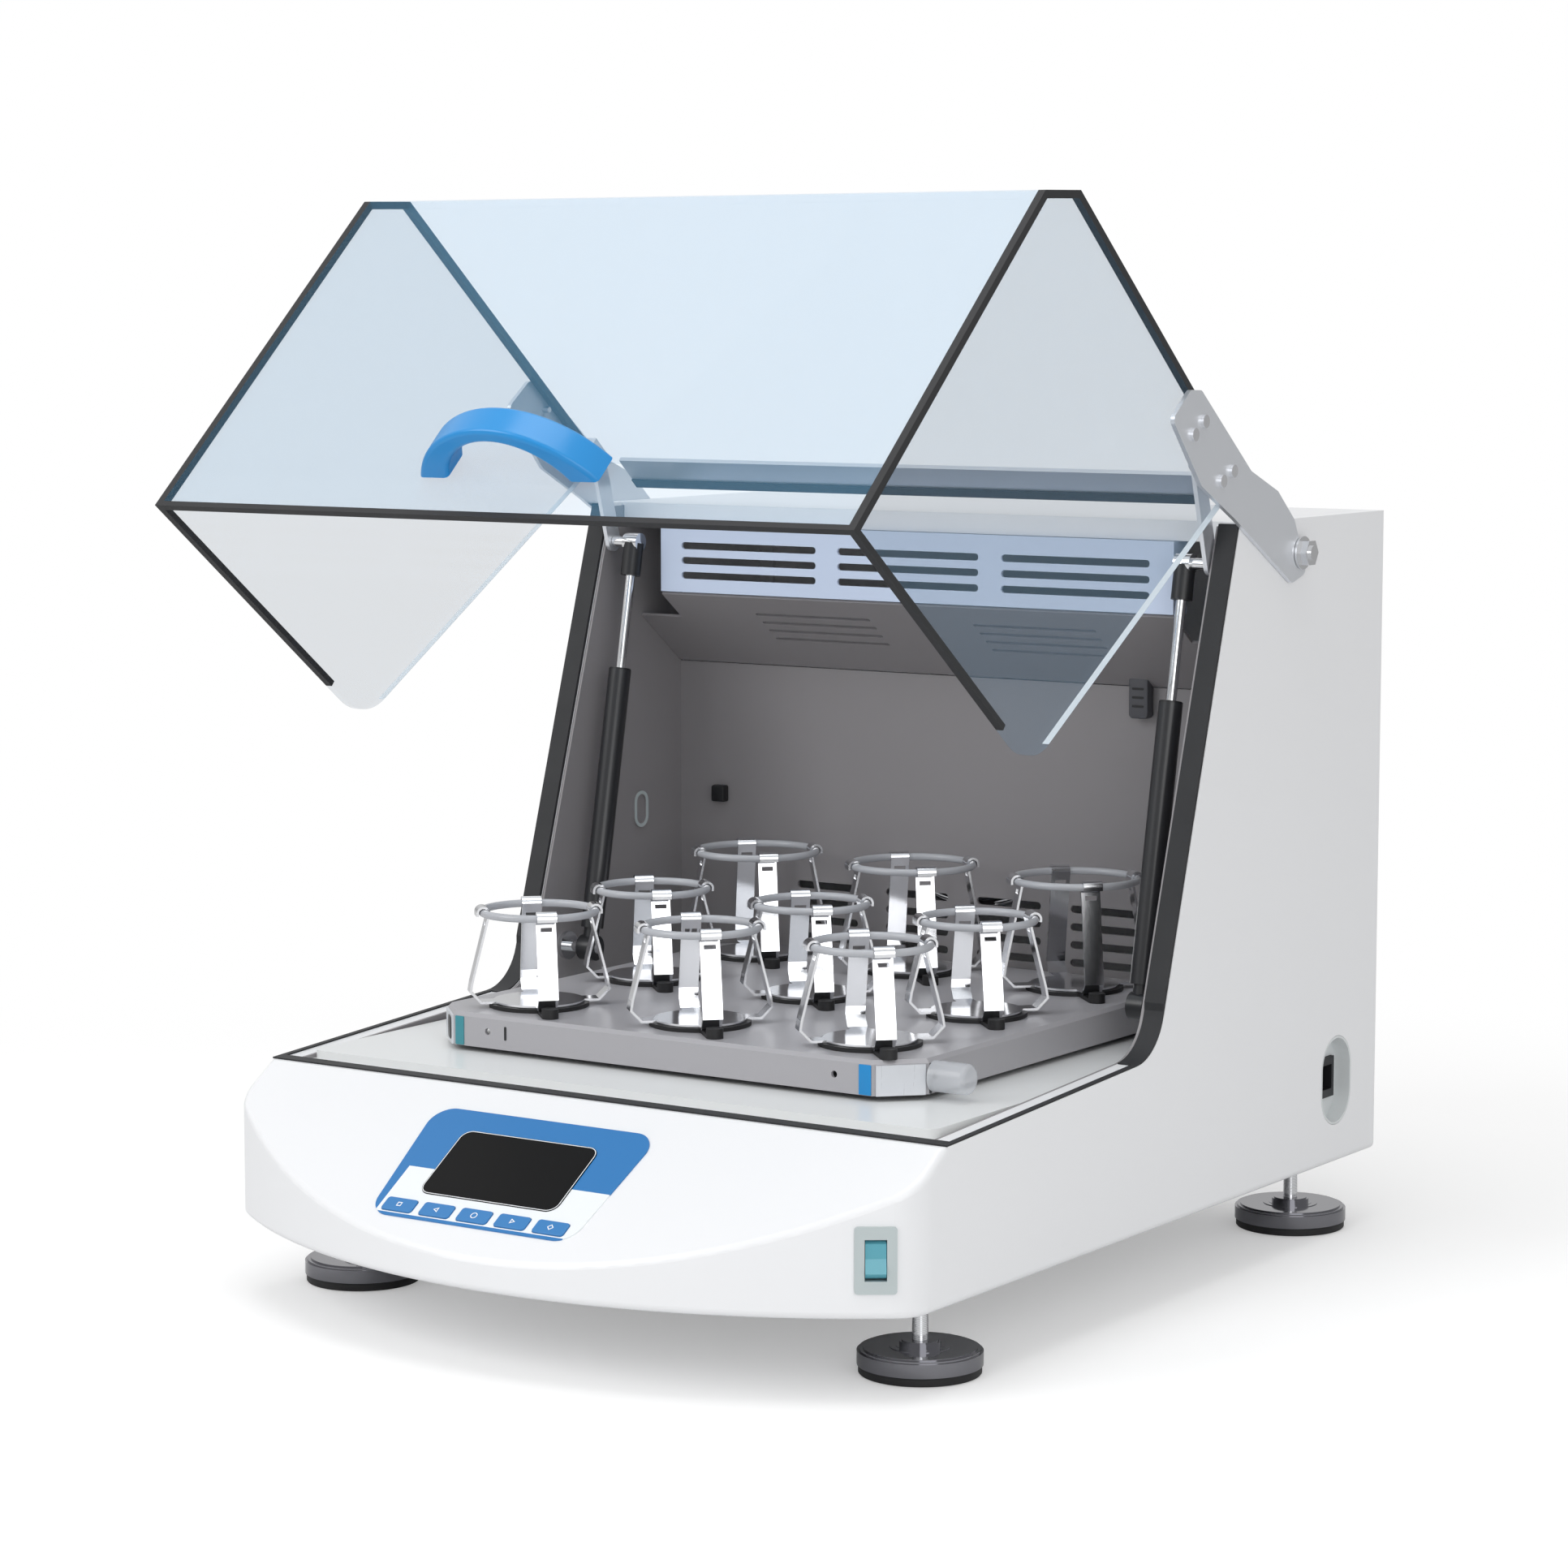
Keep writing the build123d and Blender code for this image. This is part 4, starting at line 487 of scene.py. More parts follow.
NODE_FINISHES: dict[str, Finish] = {
    "outer_casing": WHITE_PAINT,
    "rear_panel": WHITE_PAINT,
    "top_cover": WHITE_PAINT,
    "base_plate": ZINC_STEEL,
    "duct_panel": DUCT_PAINT,
    "ceiling_panel": LINER_PAINT,
    "chamber_liner": LINER_PAINT,
    "floor_tray": TRAY_PAINT,
    "mouth_gasket": SEAL_RUBBER,
    "display_window": SCREEN_GLASS,
    "switch_bezel": GREY_ABS,
    "inlet_cup": CUP_ABS,
    "power_inlet": BLACK_NYLON,
    "foot_lock_nuts": CHROME,
    "pivot_bolts": CHROME,
    "lower_ball_studs": CHROME,
    "drive_motor": BLACK_ENAMEL,
    "idler_housings": ANODISED,
    "fan_motor": BLACK_ENAMEL,
    "heater_element": STAINLESS,
    "control_board": BOARD_EPOXY,
    "power_supply": ZINC_STEEL,
    "lid_front_panel": LID_ACRYLIC,
    "lid_bevel_panel": LID_ACRYLIC,
    "lid_top_panel": LID_ACRYLIC,
    "lid_side_left": SHADED_SIDE_ACRYLIC,
    "lid_side_right": SHADED_SIDE_ACRYLIC,
    "lid_edge_trim": SEAL_RUBBER,
    "lid_rear_rail": ANODISED,
    "lid_handle": HANDLE_ABS,
    "hinge_brackets": ZINC_STEEL,
    "bracket_screws": STAINLESS,
    "strut_arms": ZINC_STEEL,
    "strut_cylinder_left": BLACK_ENAMEL,
    "strut_cylinder_right": BLACK_ENAMEL,
    "strut_rod_left": CHROME,
    "strut_rod_right": CHROME,
    "drive_crank": ZINC_STEEL,
    "counterweight": CAST_IRON,
    "idler_crank_left": ZINC_STEEL,
    "idler_crank_right": ZINC_STEEL,
    "fan_impeller": ANODISED,
    "platform_plate": PLATFORM_PAINT,
    "platform_carrier": ANODISED,
    "corner_plates": LIGHT_PLATE,
    "flask_clamps": STAINLESS,
    "clamp_rings": RING_VINYL,
    "clamp_pads": PAD_RUBBER,
    "platform_knob": KNOB_PLASTIC,
    "power_rocker": ROCKER_PLASTIC,
    "key_1": KEY_FILM,
    "key_2": KEY_FILM,
    "key_3": KEY_FILM,
    "key_4": KEY_FILM,
    "key_5": KEY_FILM,
}


def dress(node: str, finish: Finish) -> None:
    """Gives a CAD node its finish.

    Args:
        node: The node's name.
        finish: The finish that it shows.
    """
    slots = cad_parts[node].data.materials
    slots.clear()
    slots.append(finish.material())


# ------------------------------------------------------------------ modelling


@dataclass(frozen=True)
class Seat:
    """A place and a turn for a piece that is modelled lying flat at the origin."""

    origin: Vector
    right: Vector
    out: Vector

    def matrix(self) -> Matrix:
        """The matrix that carries the flat piece to its seat."""
        z = self.out.normalized()
        x = (self.right - z * self.right.dot(z)).normalized()
        y = z.cross(x)
        turn = Matrix((x, y, z)).transposed().to_4x4()
        return Matrix.Translation(self.origin) @ turn

    def shifted(self, x_mm: float, y_mm: float, z_mm: float = 0.0) -> Seat:
        """The same seat moved along its own axes, in millimetres."""
        place = self.matrix() @ (Vector((x_mm, y_mm, z_mm)) * MM)
        return Seat(place, self.right, self.out)


def select_only(piece: bpy.types.Object) -> None:
    """Leaves one object selected and active."""
    bpy.ops.object.select_all(action="DESELECT")
    piece.select_set(True)
    bpy.context.view_layer.objects.active = piece


def start_primitive(name: str, add: Callable[[], object]) -> bpy.types.Object:
    """Adds a primitive and names it, with nothing else selected.

    Args:
        name: The new piece's name.
        add: Adds the primitive.

    Returns:
        The new object.
    """
    bpy.ops.object.select_all(action="DESELECT")
    add()
    piece = bpy.context.object
    piece.name = name
    piece.data.name = name
    bpy.ops.object.transform_apply(location=True, rotation=True, scale=True)
    return piece


def round_edges(piece: bpy.types.Object, width_mm: float) -> None:
    """Rounds the piece's sharp edges.

    Args:
        piece: The piece.
        width_mm: Width of the rounding.
    """
    select_only(piece)
    bevel = piece.modifiers.new("edge", "BEVEL")
    bevel.width = width_mm * MM
    bevel.segments = 2
    bevel.limit_method = "ANGLE"
    bevel.angle_limit = radians(EDGE_ANGLE)
    bpy.ops.object.modifier_apply(modifier=bevel.name)


def raise_faces(height_mm: float) -> None:
    """Extrudes the selected faces upwards, in edit mode."""
    bpy.ops.mesh.extrude_region_move(TRANSFORM_OT_translate={"value": (0, 0, height_mm * MM)})


def outline_face(line_mm: float, thick_mm: float) -> None:
    """Turns the selected flat face into a raised outline of itself, in edit mode."""
    bpy.ops.mesh.inset(thickness=line_mm * MM, depth=0.0)
    bpy.ops.mesh.delete(type="FACE")
    bpy.ops.mesh.select_all(action="SELECT")
    raise_faces(thick_mm)


def finish_piece(
    piece: bpy.types.Object, seat: Seat, finish: Finish, body: str
) -> None:
    """Sets a flat-modelled piece on its seat, with its place in its mesh, and lets it ride.

    Args:
        piece: The piece, modelled at the origin.
        seat: Where it goes.
        finish: Its finish.
        body: The body that it rides on.
    """
    select_only(piece)
    piece.matrix_world = seat.matrix()
    bpy.ops.object.transform_apply(location=True, rotation=True, scale=True)
    bpy.ops.object.mode_set(mode="EDIT")
    bpy.ops.mesh.select_all(action="SELECT")
    bpy.ops.mesh.remove_doubles(threshold=MERGE_DISTANCE)
    bpy.ops.mesh.normals_make_consistent(inside=False)
    bpy.ops.object.mode_set(mode="OBJECT")
    bpy.ops.object.shade_smooth_by_angle(angle=radians(SMOOTH_ANGLE))
    piece.data.materials.clear()
    piece.data.materials.append(finish.material())
    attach(piece, body)
    LOG.info("%s rides on %s", piece.name, body)


def start_rounded(
    name: str, width_mm: float, height_mm: float, corner_mm: float
) -> bpy.types.Object:
    """Starts a flat rounded rectangle, left in edit mode with its face selected.

    Args:
        name: The piece's name.
        width_mm: Size along X.
        height_mm: Size along Y.
        corner_mm: Radius of the corners.

    Returns:
        The flat piece.
    """
    piece = start_primitive(name, lambda: bpy.ops.mesh.primitive_plane_add(size=1.0))
    piece.scale = (width_mm * MM, height_mm * MM, 1.0)
    bpy.ops.object.transform_apply(scale=True)
    bpy.ops.object.mode_set(mode="EDIT")
    bpy.ops.mesh.select_all(action="SELECT")
    bpy.ops.mesh.bevel(
        offset=corner_mm * MM, segments=CORNER_FACETS, affect="VERTICES", offset_type="OFFSET"
    )
    bpy.ops.mesh.select_all(action="SELECT")
    return piece


def rounded_plate(
    name: str,
    width_mm: float,
    height_mm: float,
    thick_mm: float,
    corner_mm: float,
    edge_mm: float = 0.0,
) -> bpy.types.Object:
    """A flat plate with rounded corners, its back face on the origin's plane.

    Args:
        name: The piece's name.
        width_mm: Size along X.
        height_mm: Size along Y.
        thick_mm: Thickness, towards +Z.
        corner_mm: Radius of the corners.
        edge_mm: Rounding of the front edge.

    Returns:
        The plate.
    """
    piece = start_rounded(name, width_mm, height_mm, corner_mm)
    raise_faces(thick_mm)
    bpy.ops.object.mode_set(mode="OBJECT")
    if edge_mm > 0:
        round_edges(piece, edge_mm)
    return piece


def frame_line(
    name: str,
    width_mm: float,
    height_mm: float,
    line_mm: float,
    thick_mm: float,
    corner_mm: float,
) -> bpy.types.Object:
    """A thin rounded frame, as a printed outline raised by its ink.

    Args:
        name: The piece's name.
        width_mm: Outer size along X.
        height_mm: Outer size along Y.
        line_mm: Width of the line.
        thick_mm: Its thickness.
        corner_mm: Radius of its corners.

    Returns:
        The frame.
    """
    piece = start_rounded(name, width_mm, height_mm, corner_mm)
    outline_face(line_mm, thick_mm)
    bpy.ops.object.mode_set(mode="OBJECT")
    return piece


def stepped_disc(name: str, radius_mm: float, steps: Profile, sides: int) -> bpy.types.Object:
    """A turned piece: a disc whose top is drawn in or out and raised again and again.

    Args:
        name: The piece's name.
        radius_mm: Radius of its base.
        steps: Its profile, from the base up. A negative first value widens the piece.
        sides: Sides of the circle.

    Returns:
        The turned piece, standing on the origin's plane.
    """
    piece = start_primitive(
        name,
        lambda: bpy.ops.mesh.primitive_circle_add(
            vertices=sides, radius=radius_mm * MM, fill_type="NGON"
        ),
    )
    bpy.ops.object.mode_set(mode="EDIT")
    bpy.ops.mesh.select_all(action="SELECT")
    radius = radius_mm
    for drawn_in, raised in steps:
        if drawn_in > 0:
            bpy.ops.mesh.inset(thickness=drawn_in * MM, depth=0.0)
        elif drawn_in < 0:
            raise_faces(0.0)
            wider = 1 - drawn_in / radius
            bpy.ops.transform.resize(value=(wider, wider, 1.0))
        radius -= drawn_in
        if raised:
            raise_faces(raised)
    bpy.ops.object.mode_set(mode="OBJECT")
    return piece


# ------------------------------------------------------------------ sub-assemblies


@dataclass
class Cabinet:
    """The small fittings of the chamber's walls and of the rear panel."""

    rear_wall: float = 128.0
    port_face: float = -241.8
    port_at: tuple[float, float] = (180.0, 224.0)
    sensor_at: tuple[float, float] = (144.5, 322.0)
    sensor_depth: float = 9.0
    slit_pitch: float = 6.0
    clip_at: tuple[float, float] = (-206.0, 233.0)
    panel_half_width: float = 256.7
    panel_height: float = 447.0
    screw_margin: float = 9.0
    screw_shares: tuple[float, ...] = (0.02, 0.5, 0.98)
    screw_radius: float = 3.4
    screw_profile: Profile = ((0, 0.9), (0.7, 0.6), (1.2, -0.8))
    plate_at: tuple[float, float] = (150.0, 120.0)

    def build(self) -> None:
        """Adds the fittings of the chamber and of the rear panel."""
        self.chamber()
        self.rear()

    def chamber(self) -> None:
        """Adds the port's rim, the air sensor and the wall clip."""
        left = Seat(row(self.port_face, *self.port_at), BACK, RIGHT)
        rim = frame_line(
            "port_rim_ring", width_mm=16.4, height_mm=26.4, line_mm=2.4, thick_mm=0.5, corner_mm=8.0
        )
        finish_piece(rim, left, GREY_ABS, "cabinet")
        wall = Seat(row(0, self.rear_wall, 0), RIGHT, -BACK)
        sensor_seat = wall.shifted(*self.sensor_at)
        sensor = rounded_plate(
            "sensor_housing",
            width_mm=15.0,
            height_mm=29.0,
            thick_mm=self.sensor_depth,
            corner_mm=3.0,
            edge_mm=1.4,
        )
        finish_piece(sensor, sensor_seat, SENSOR_NYLON, "cabinet")
        for number, side in enumerate((-1, 0, 1), start=1):
            slit = rounded_plate(
                f"sensor_slit_{number}", width_mm=9.0, height_mm=1.6, thick_mm=0.3, corner_mm=0.7
            )
            slit_seat = sensor_seat.shifted(0.0, self.slit_pitch * side, self.sensor_depth)
            finish_piece(slit, slit_seat, BLACK_ACETAL, "cabinet")
        clip = rounded_plate(
            "wall_clip", width_mm=11.0, height_mm=12.0, thick_mm=7.0, corner_mm=1.5, edge_mm=1.0
        )
        finish_piece(clip, wall.shifted(*self.clip_at), BLACK_ACETAL, "cabinet")

    def rear(self) -> None:
        """Adds the rear panel's pan-head screws and its bare rating plate."""
        back = Seat(row(0, 0, 0), -RIGHT, BACK)
        reach = self.panel_half_width - self.screw_margin
        rise = self.panel_height - 2 * self.screw_margin
        for name, side in (("left", -1), ("right", 1)):
            for number, share in enumerate(self.screw_shares, start=1):
                screw = stepped_disc(
                    f"rear_screw_{name}_{number}", self.screw_radius, self.screw_profile, sides=24
                )
                seat = back.shifted(side * reach, self.screw_margin + rise * share)
                finish_piece(screw, seat, STAINLESS, "cabinet")
        plate = rounded_plate(
            "rear_rating_plate",
            width_mm=74.0,
            height_mm=42.0,
            thick_mm=0.4,
            corner_mm=2.0,
            edge_mm=0.15,
        )
        finish_piece(plate, back.shifted(*self.plate_at), LIGHT_PLATE, "cabinet")


@dataclass
class ControlPanel:
    """The overlay's print, the screen's outline and the keys' symbols."""

    ledge_depth: float = 570.6
    ledge_height: float = 97.0
    slope: float = 32.7
    centre_x: float = -18.0
    screen_middle: float = 68.0
    screen_width: float = 105.0
    screen_height: float = 57.0
    screen_face: float = 1.3
    outline_margin: float = 0.6
    outline_corner: float = 7.4
    outline_width: float = 0.5
    ink_thickness: float = 0.08
    middle_key: int = 3
    key_pitch: float = 29.0
    key_middle: float = 109.0
    key_face: float = 1.8
    symbol_radius: float = 2.4
    symbol_line: float = 0.6
    symbol_sides: tuple[int, ...] = (4, 3, 32, 3, 4)
    symbol_turns: tuple[float, ...] = (pi / 4, pi / 2, 0.0, -pi / 2, 0.0)
    band_top: float = 76.0
    band_bottom: float = 116.2
    band_half_width: float = 81.0
    band_shift: float = 8.0

    def seat(self) -> Seat:
        """The control slope's seat, with local -Y down the slope."""
        out = Vector((0, -sin(radians(self.slope)), cos(radians(self.slope))))
        return Seat(row(0, self.ledge_depth, self.ledge_height), RIGHT, out)

    def build(self) -> None:
        """Prints the overlay, outlines the screen and marks the keys."""
        slope = self.seat()
        top = slope.shifted(self.centre_x + self.band_shift, -self.band_top).origin
        bottom = slope.shifted(self.centre_x, -self.band_bottom).origin
        film = PrintedFilm(
            "printed_polycarbonate_overlay",
            "2176B8",
            0.34,
            band_x=top.x,
            band_half_width=self.band_half_width * MM,
            band_rear_y=top.y,
            band_front_y=bottom.y,
        )
        dress("control_overlay", film)
        outline = frame_line(
            "screen_outline",
            self.screen_width - self.outline_margin,
            self.screen_height - self.outline_margin,
            self.outline_width,
            self.ink_thickness,
            self.outline_corner,
        )
        screen = slope.shifted(self.centre_x, -self.screen_middle, self.screen_face)
        finish_piece(outline, screen, WHITE_INK, "cabinet")
        for number, (sides, turn) in enumerate(zip(self.symbol_sides, self.symbol_turns), start=1):
            x = self.centre_x + self.key_pitch * (number - self.middle_key)
            key = slope.shifted(x, -self.key_middle, self.key_face)
            mark = self.symbol(f"key_symbol_{number}", sides, turn)
            finish_piece(mark, key, WHITE_INK, f"key_{number}_body")

    def symbol(self, name: str, sides: int, turn: float) -> bpy.types.Object:
        """A plain printed symbol: the outline of a regular shape.

        Args:
            name: The piece's name.
            sides: Sides of the shape.
            turn: How far it is turned, in radians.

        Returns:
            The symbol.
        """
        mark = start_primitive(
            name,
            lambda: bpy.ops.mesh.primitive_circle_add(
                vertices=sides,
                radius=self.symbol_radius * MM,
                fill_type="NGON",
                rotation=(0, 0, turn),
            ),
        )
        bpy.ops.object.mode_set(mode="EDIT")
        bpy.ops.mesh.select_all(action="SELECT")
        outline_face(self.symbol_line, self.ink_thickness)
        bpy.ops.object.mode_set(mode="OBJECT")
        return mark


@dataclass
class Struts:
    """The gas struts' glands and end sockets."""

    x: float = 222.0
    foot: tuple[float, float] = (270.0, 135.5)
    top: tuple[float, float] = (215.0, 420.0)
    cylinder_end: float = 198.0
    gland_radius: float = 7.9
    gland_profile: Profile = ((0, 0.8), (0.6, 0.6), (3.55, 0.001))
    socket_length: float = 24.0
    socket_radius: float = 5.2
    socket_profile: Profile = ((-1.9, 5.0), (0, 18.0), (0.8, 0.9))
    sides: int = 48

    def build(self) -> None:
        """Adds a gland and a socket to each strut."""
        for name, side in (("left", -1), ("right", 1)):
            foot = row(side * self.x, *self.foot)
            top = row(side * self.x, *self.top)
            along = (top - foot).normalized()
            gland = stepped_disc(
                f"strut_gland_{name}", self.gland_radius, self.gland_profile, self.sides
            )
            gland_seat = Seat(foot + along * self.cylinder_end * MM, RIGHT, along)
            cylinder = f"strut_cylinder_{name}_body"
            finish_piece(gland, gland_seat, BLACK_ACETAL, cylinder)
            socket = stepped_disc(
                f"strut_socket_{name}", self.socket_radius, self.socket_profile, self.sides
            )
            to_socket = (top - foot).length - self.socket_length * MM
            socket_seat = Seat(foot + along * to_socket, RIGHT, along)
            rod = f"strut_rod_{name}_body"
            finish_piece(socket, socket_seat, BLACK_ACETAL, rod)


@dataclass
class LidEdgeHighlights:
    """Painted highlights on the cut edges of the lid's side panels, in the open position."""

    hinge: tuple[float, float] = (130.0, 424.3)
    open_angle: float = 41.0
    upper: tuple[float, float] = (226.0, 408.0)
    lower: tuple[float, float] = (309.7, 136.2)
    panel_x: float = 257.9
    strip_width: float = 4.6
    strip_thickness: float = 0.15
    strip_corner: float = 0.2

    def opened(self, place: tuple[float, float], x: float) -> Vector:
        """Where a point of the closed lid's side view lies with the lid open.

        Args:
            place: Depth and height with the lid closed.
            x: Distance to the right of the middle.

        Returns:
            The point in metres.
        """
        hinge_depth, hinge_height = self.hinge
        forward = place[0] - hinge_depth
        above = place[1] - hinge_height
        c = cos(radians(self.open_angle))
        s = sin(radians(self.open_angle))
        depth = hinge_depth + forward * c - above * s
        return row(x, depth, hinge_height + above * c + forward * s)

    def build(self) -> None:
        """Lays a near-white strip on the rear edge of each side panel, as a painted highlight."""
        for name, side in (("left", -1), ("right", 1)):
            upper = self.opened(self.upper, side * self.panel_x)
            lower = self.opened(self.lower, side * self.panel_x)
            along = (upper - lower).normalized()
            strip = rounded_plate(
                f"lid_edge_highlight_{name}",
                self.strip_width,
                (upper - lower).length / MM,
                self.strip_thickness,
                self.strip_corner,
            )
            seat = Seat((upper + lower) / 2, RIGHT, RIGHT.cross(along))
            finish_piece(strip, seat, EDGE_HIGHLIGHT, "lid")


@dataclass
class Platform:
    """The markers, slit, seam and a painted reflection on the front of the pan."""

    half_width: float = 188.0
    front: float = 499.0
    corner: float = 25.6
    bottom: float = 106.0
    middle_rise: float = 9.8
    corner_plate: float = 1.6
    marker_height: float = 19.0
    marker_right_inset: float = 4.6
    marker_left_inset: float = 4.5
    slit_inset: float = 42.0
    slit_rise: float = 11.0
    reflection_shift: float = 6.0
    seam_shift: float = 1.6

    def build(self) -> None:
        """Adds the pan's markers and small insets."""
        front = Seat(row(0, self.front, self.bottom), RIGHT, -BACK)
        edge = self.half_width - self.corner
        rise = self.middle_rise
        right = self.marker("marker_right", 9.0)
        right_seat = front.shifted(edge - self.marker_right_inset, rise)
        finish_piece(right, right_seat, MARK_BLUE, "platform")
        # The left marker is the same blue vinyl, painted teal and darker as painted shade.
        left = self.marker("marker_left", 7.0)
        left_seat = front.shifted(-edge + self.marker_left_inset, rise)
        finish_piece(left, left_seat, SHADED_MARK_BLUE, "platform")
        slit = rounded_plate(
            "front_slot", width_mm=1.6, height_mm=9.0, thick_mm=0.4, corner_mm=0.7
        )
        slit_seat = front.shifted(-edge + self.slit_inset, self.slit_rise)
        finish_piece(slit, slit_seat, BLACK_ACETAL, "platform")
        half = self.corner / 2
        out = -(RIGHT + BACK)
        face = row(half - self.half_width, self.front - half, self.bottom)
        chamfer = Seat(face + out.normalized() * self.corner_plate * MM, RIGHT - BACK, out)
        # A black patch on the left chamfer: a painted reflection, standing in for the darkness that
        # the polished corner plate mirrors.
        reflection_patch = rounded_plate(
            "corner_painted_reflection_left",
            width_mm=14.0,
            height_mm=15.0,
            thick_mm=0.5,
            corner_mm=3.0,
            edge_mm=0.2,
        )
        reflection_seat = chamfer.shifted(self.reflection_shift, rise)
        finish_piece(reflection_patch, reflection_seat, BLACK_ACETAL, "platform")
        side = Seat(row(self.half_width, self.front - self.corner, self.bottom), BACK, RIGHT)
        seam = rounded_plate(
            "corner_seam_right",
            width_mm=2.4,
            height_mm=self.marker_height,
            thick_mm=0.4,
            corner_mm=0.6,
        )
        seam_seat = side.shifted(self.seam_shift, rise)
        finish_piece(seam, seam_seat, BLACK_ACETAL, "platform")

    def marker(self, name: str, width_mm: float) -> bpy.types.Object:
        """One of the two vinyl markers, as high as the pan's front.

        Args:
            name: The piece's name.
            width_mm: Size along X.

        Returns:
            The marker.
        """
        return rounded_plate(
            name,
            width_mm,
            height_mm=self.marker_height,
            thick_mm=0.6,
            corner_mm=0.8,
            edge_mm=0.25,
        )


@dataclass
class LevellingFoot:
    """A chromed disc, painted darker as a painted reflection, on a threaded stud, over a rubber
    sole.
    """

    sole_radius: float = 37.0
    sole_profile: Profile = ((0, 0.6), (-0.5, 4.0), (0.4, 0.3))
    disc_radius: float = 36.9
    disc_rise: float = 4.9
    disc_profile: Profile = (
        (0, 0.4),
        (-1.5, 0.9),
        (0, 7.6),
        (1.4, 1.3),
        (2.2, 0.9),
        (16.0, 0.4),
        (4.0, 0.2),
        (2.0, 3.0),
        (1.4, 0.8),
    )
    stud_radius: float = 5.0
    stud_rise: float = 19.0
    thread_turns: int = 26
    thread_pitch: float = 0.8
    thread_depth: float = 0.45
    stud_end: tuple[float, float] = (0.6, 0.5)
    places: dict[str, tuple[float, float]] = field(
        default_factory=lambda: {
            "foot_front_left": (-217.0, 529.0),
            "foot_front_right": (217.0, 529.0),
            "foot_rear_left": (-217.0, 42.0),
            "foot_rear_right": (217.0, 42.0),
        }
    )

    def build(self) -> None:
        """Replaces each plain foot with a turned disc, a sole and a stud."""
        for node, (x, depth) in self.places.items():
            seat = Seat(row(x, depth, -FOOT_HEIGHT), RIGHT, UP)
            body = f"{node}_body"
            sole = stepped_disc(f"{node}_sole", self.sole_radius, self.sole_profile, sides=72)
            finish_piece(sole, seat, PAD_RUBBER, body)
            # The disc's darker chromium is a painted reflection.
            disc = stepped_disc(f"{node}_disc", self.disc_radius, self.disc_profile, sides=96)
            disc_seat = seat.shifted(0, 0, self.disc_rise)
            finish_piece(disc, disc_seat, DARK_REFLECTION_CHROME, body)
            stud = stepped_disc(f"{node}_stud", self.stud_radius, self.thread(), sides=24)
            stud_seat = seat.shifted(0, 0, self.stud_rise)
            finish_piece(stud, stud_seat, CHROME, body)
            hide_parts(node)

    def thread(self) -> list[tuple[float, float]]:
        """The stud's profile, with its thread drawn as rings."""
        half = self.thread_pitch / 2
        ring = [(self.thread_depth, half), (-self.thread_depth, half)]
        return ring * self.thread_turns + [self.stud_end]


@dataclass(frozen=True)
class SoftLamp:
    """A square soft lamp that points at the machine."""

    name: str
    place: tuple[float, float, float]
    size: float
    power: float

    def hang(self, target: Vector) -> None:
        """Adds the lamp to the scene.

        Args:
            target: The point that it faces, in metres.
        """
        data = bpy.data.lights.new(self.name, "AREA")
        data.shape = "SQUARE"
        data.size = self.size
        data.energy = self.power
        lamp = bpy.data.objects.new(self.name, data)
        bpy.context.scene.collection.objects.link(lamp)
        place = Vector(self.place)
        turn = (target - place).to_track_quat("-Z", "Y").to_matrix().to_4x4()
        lamp.matrix_world = Matrix.Translation(place) @ turn


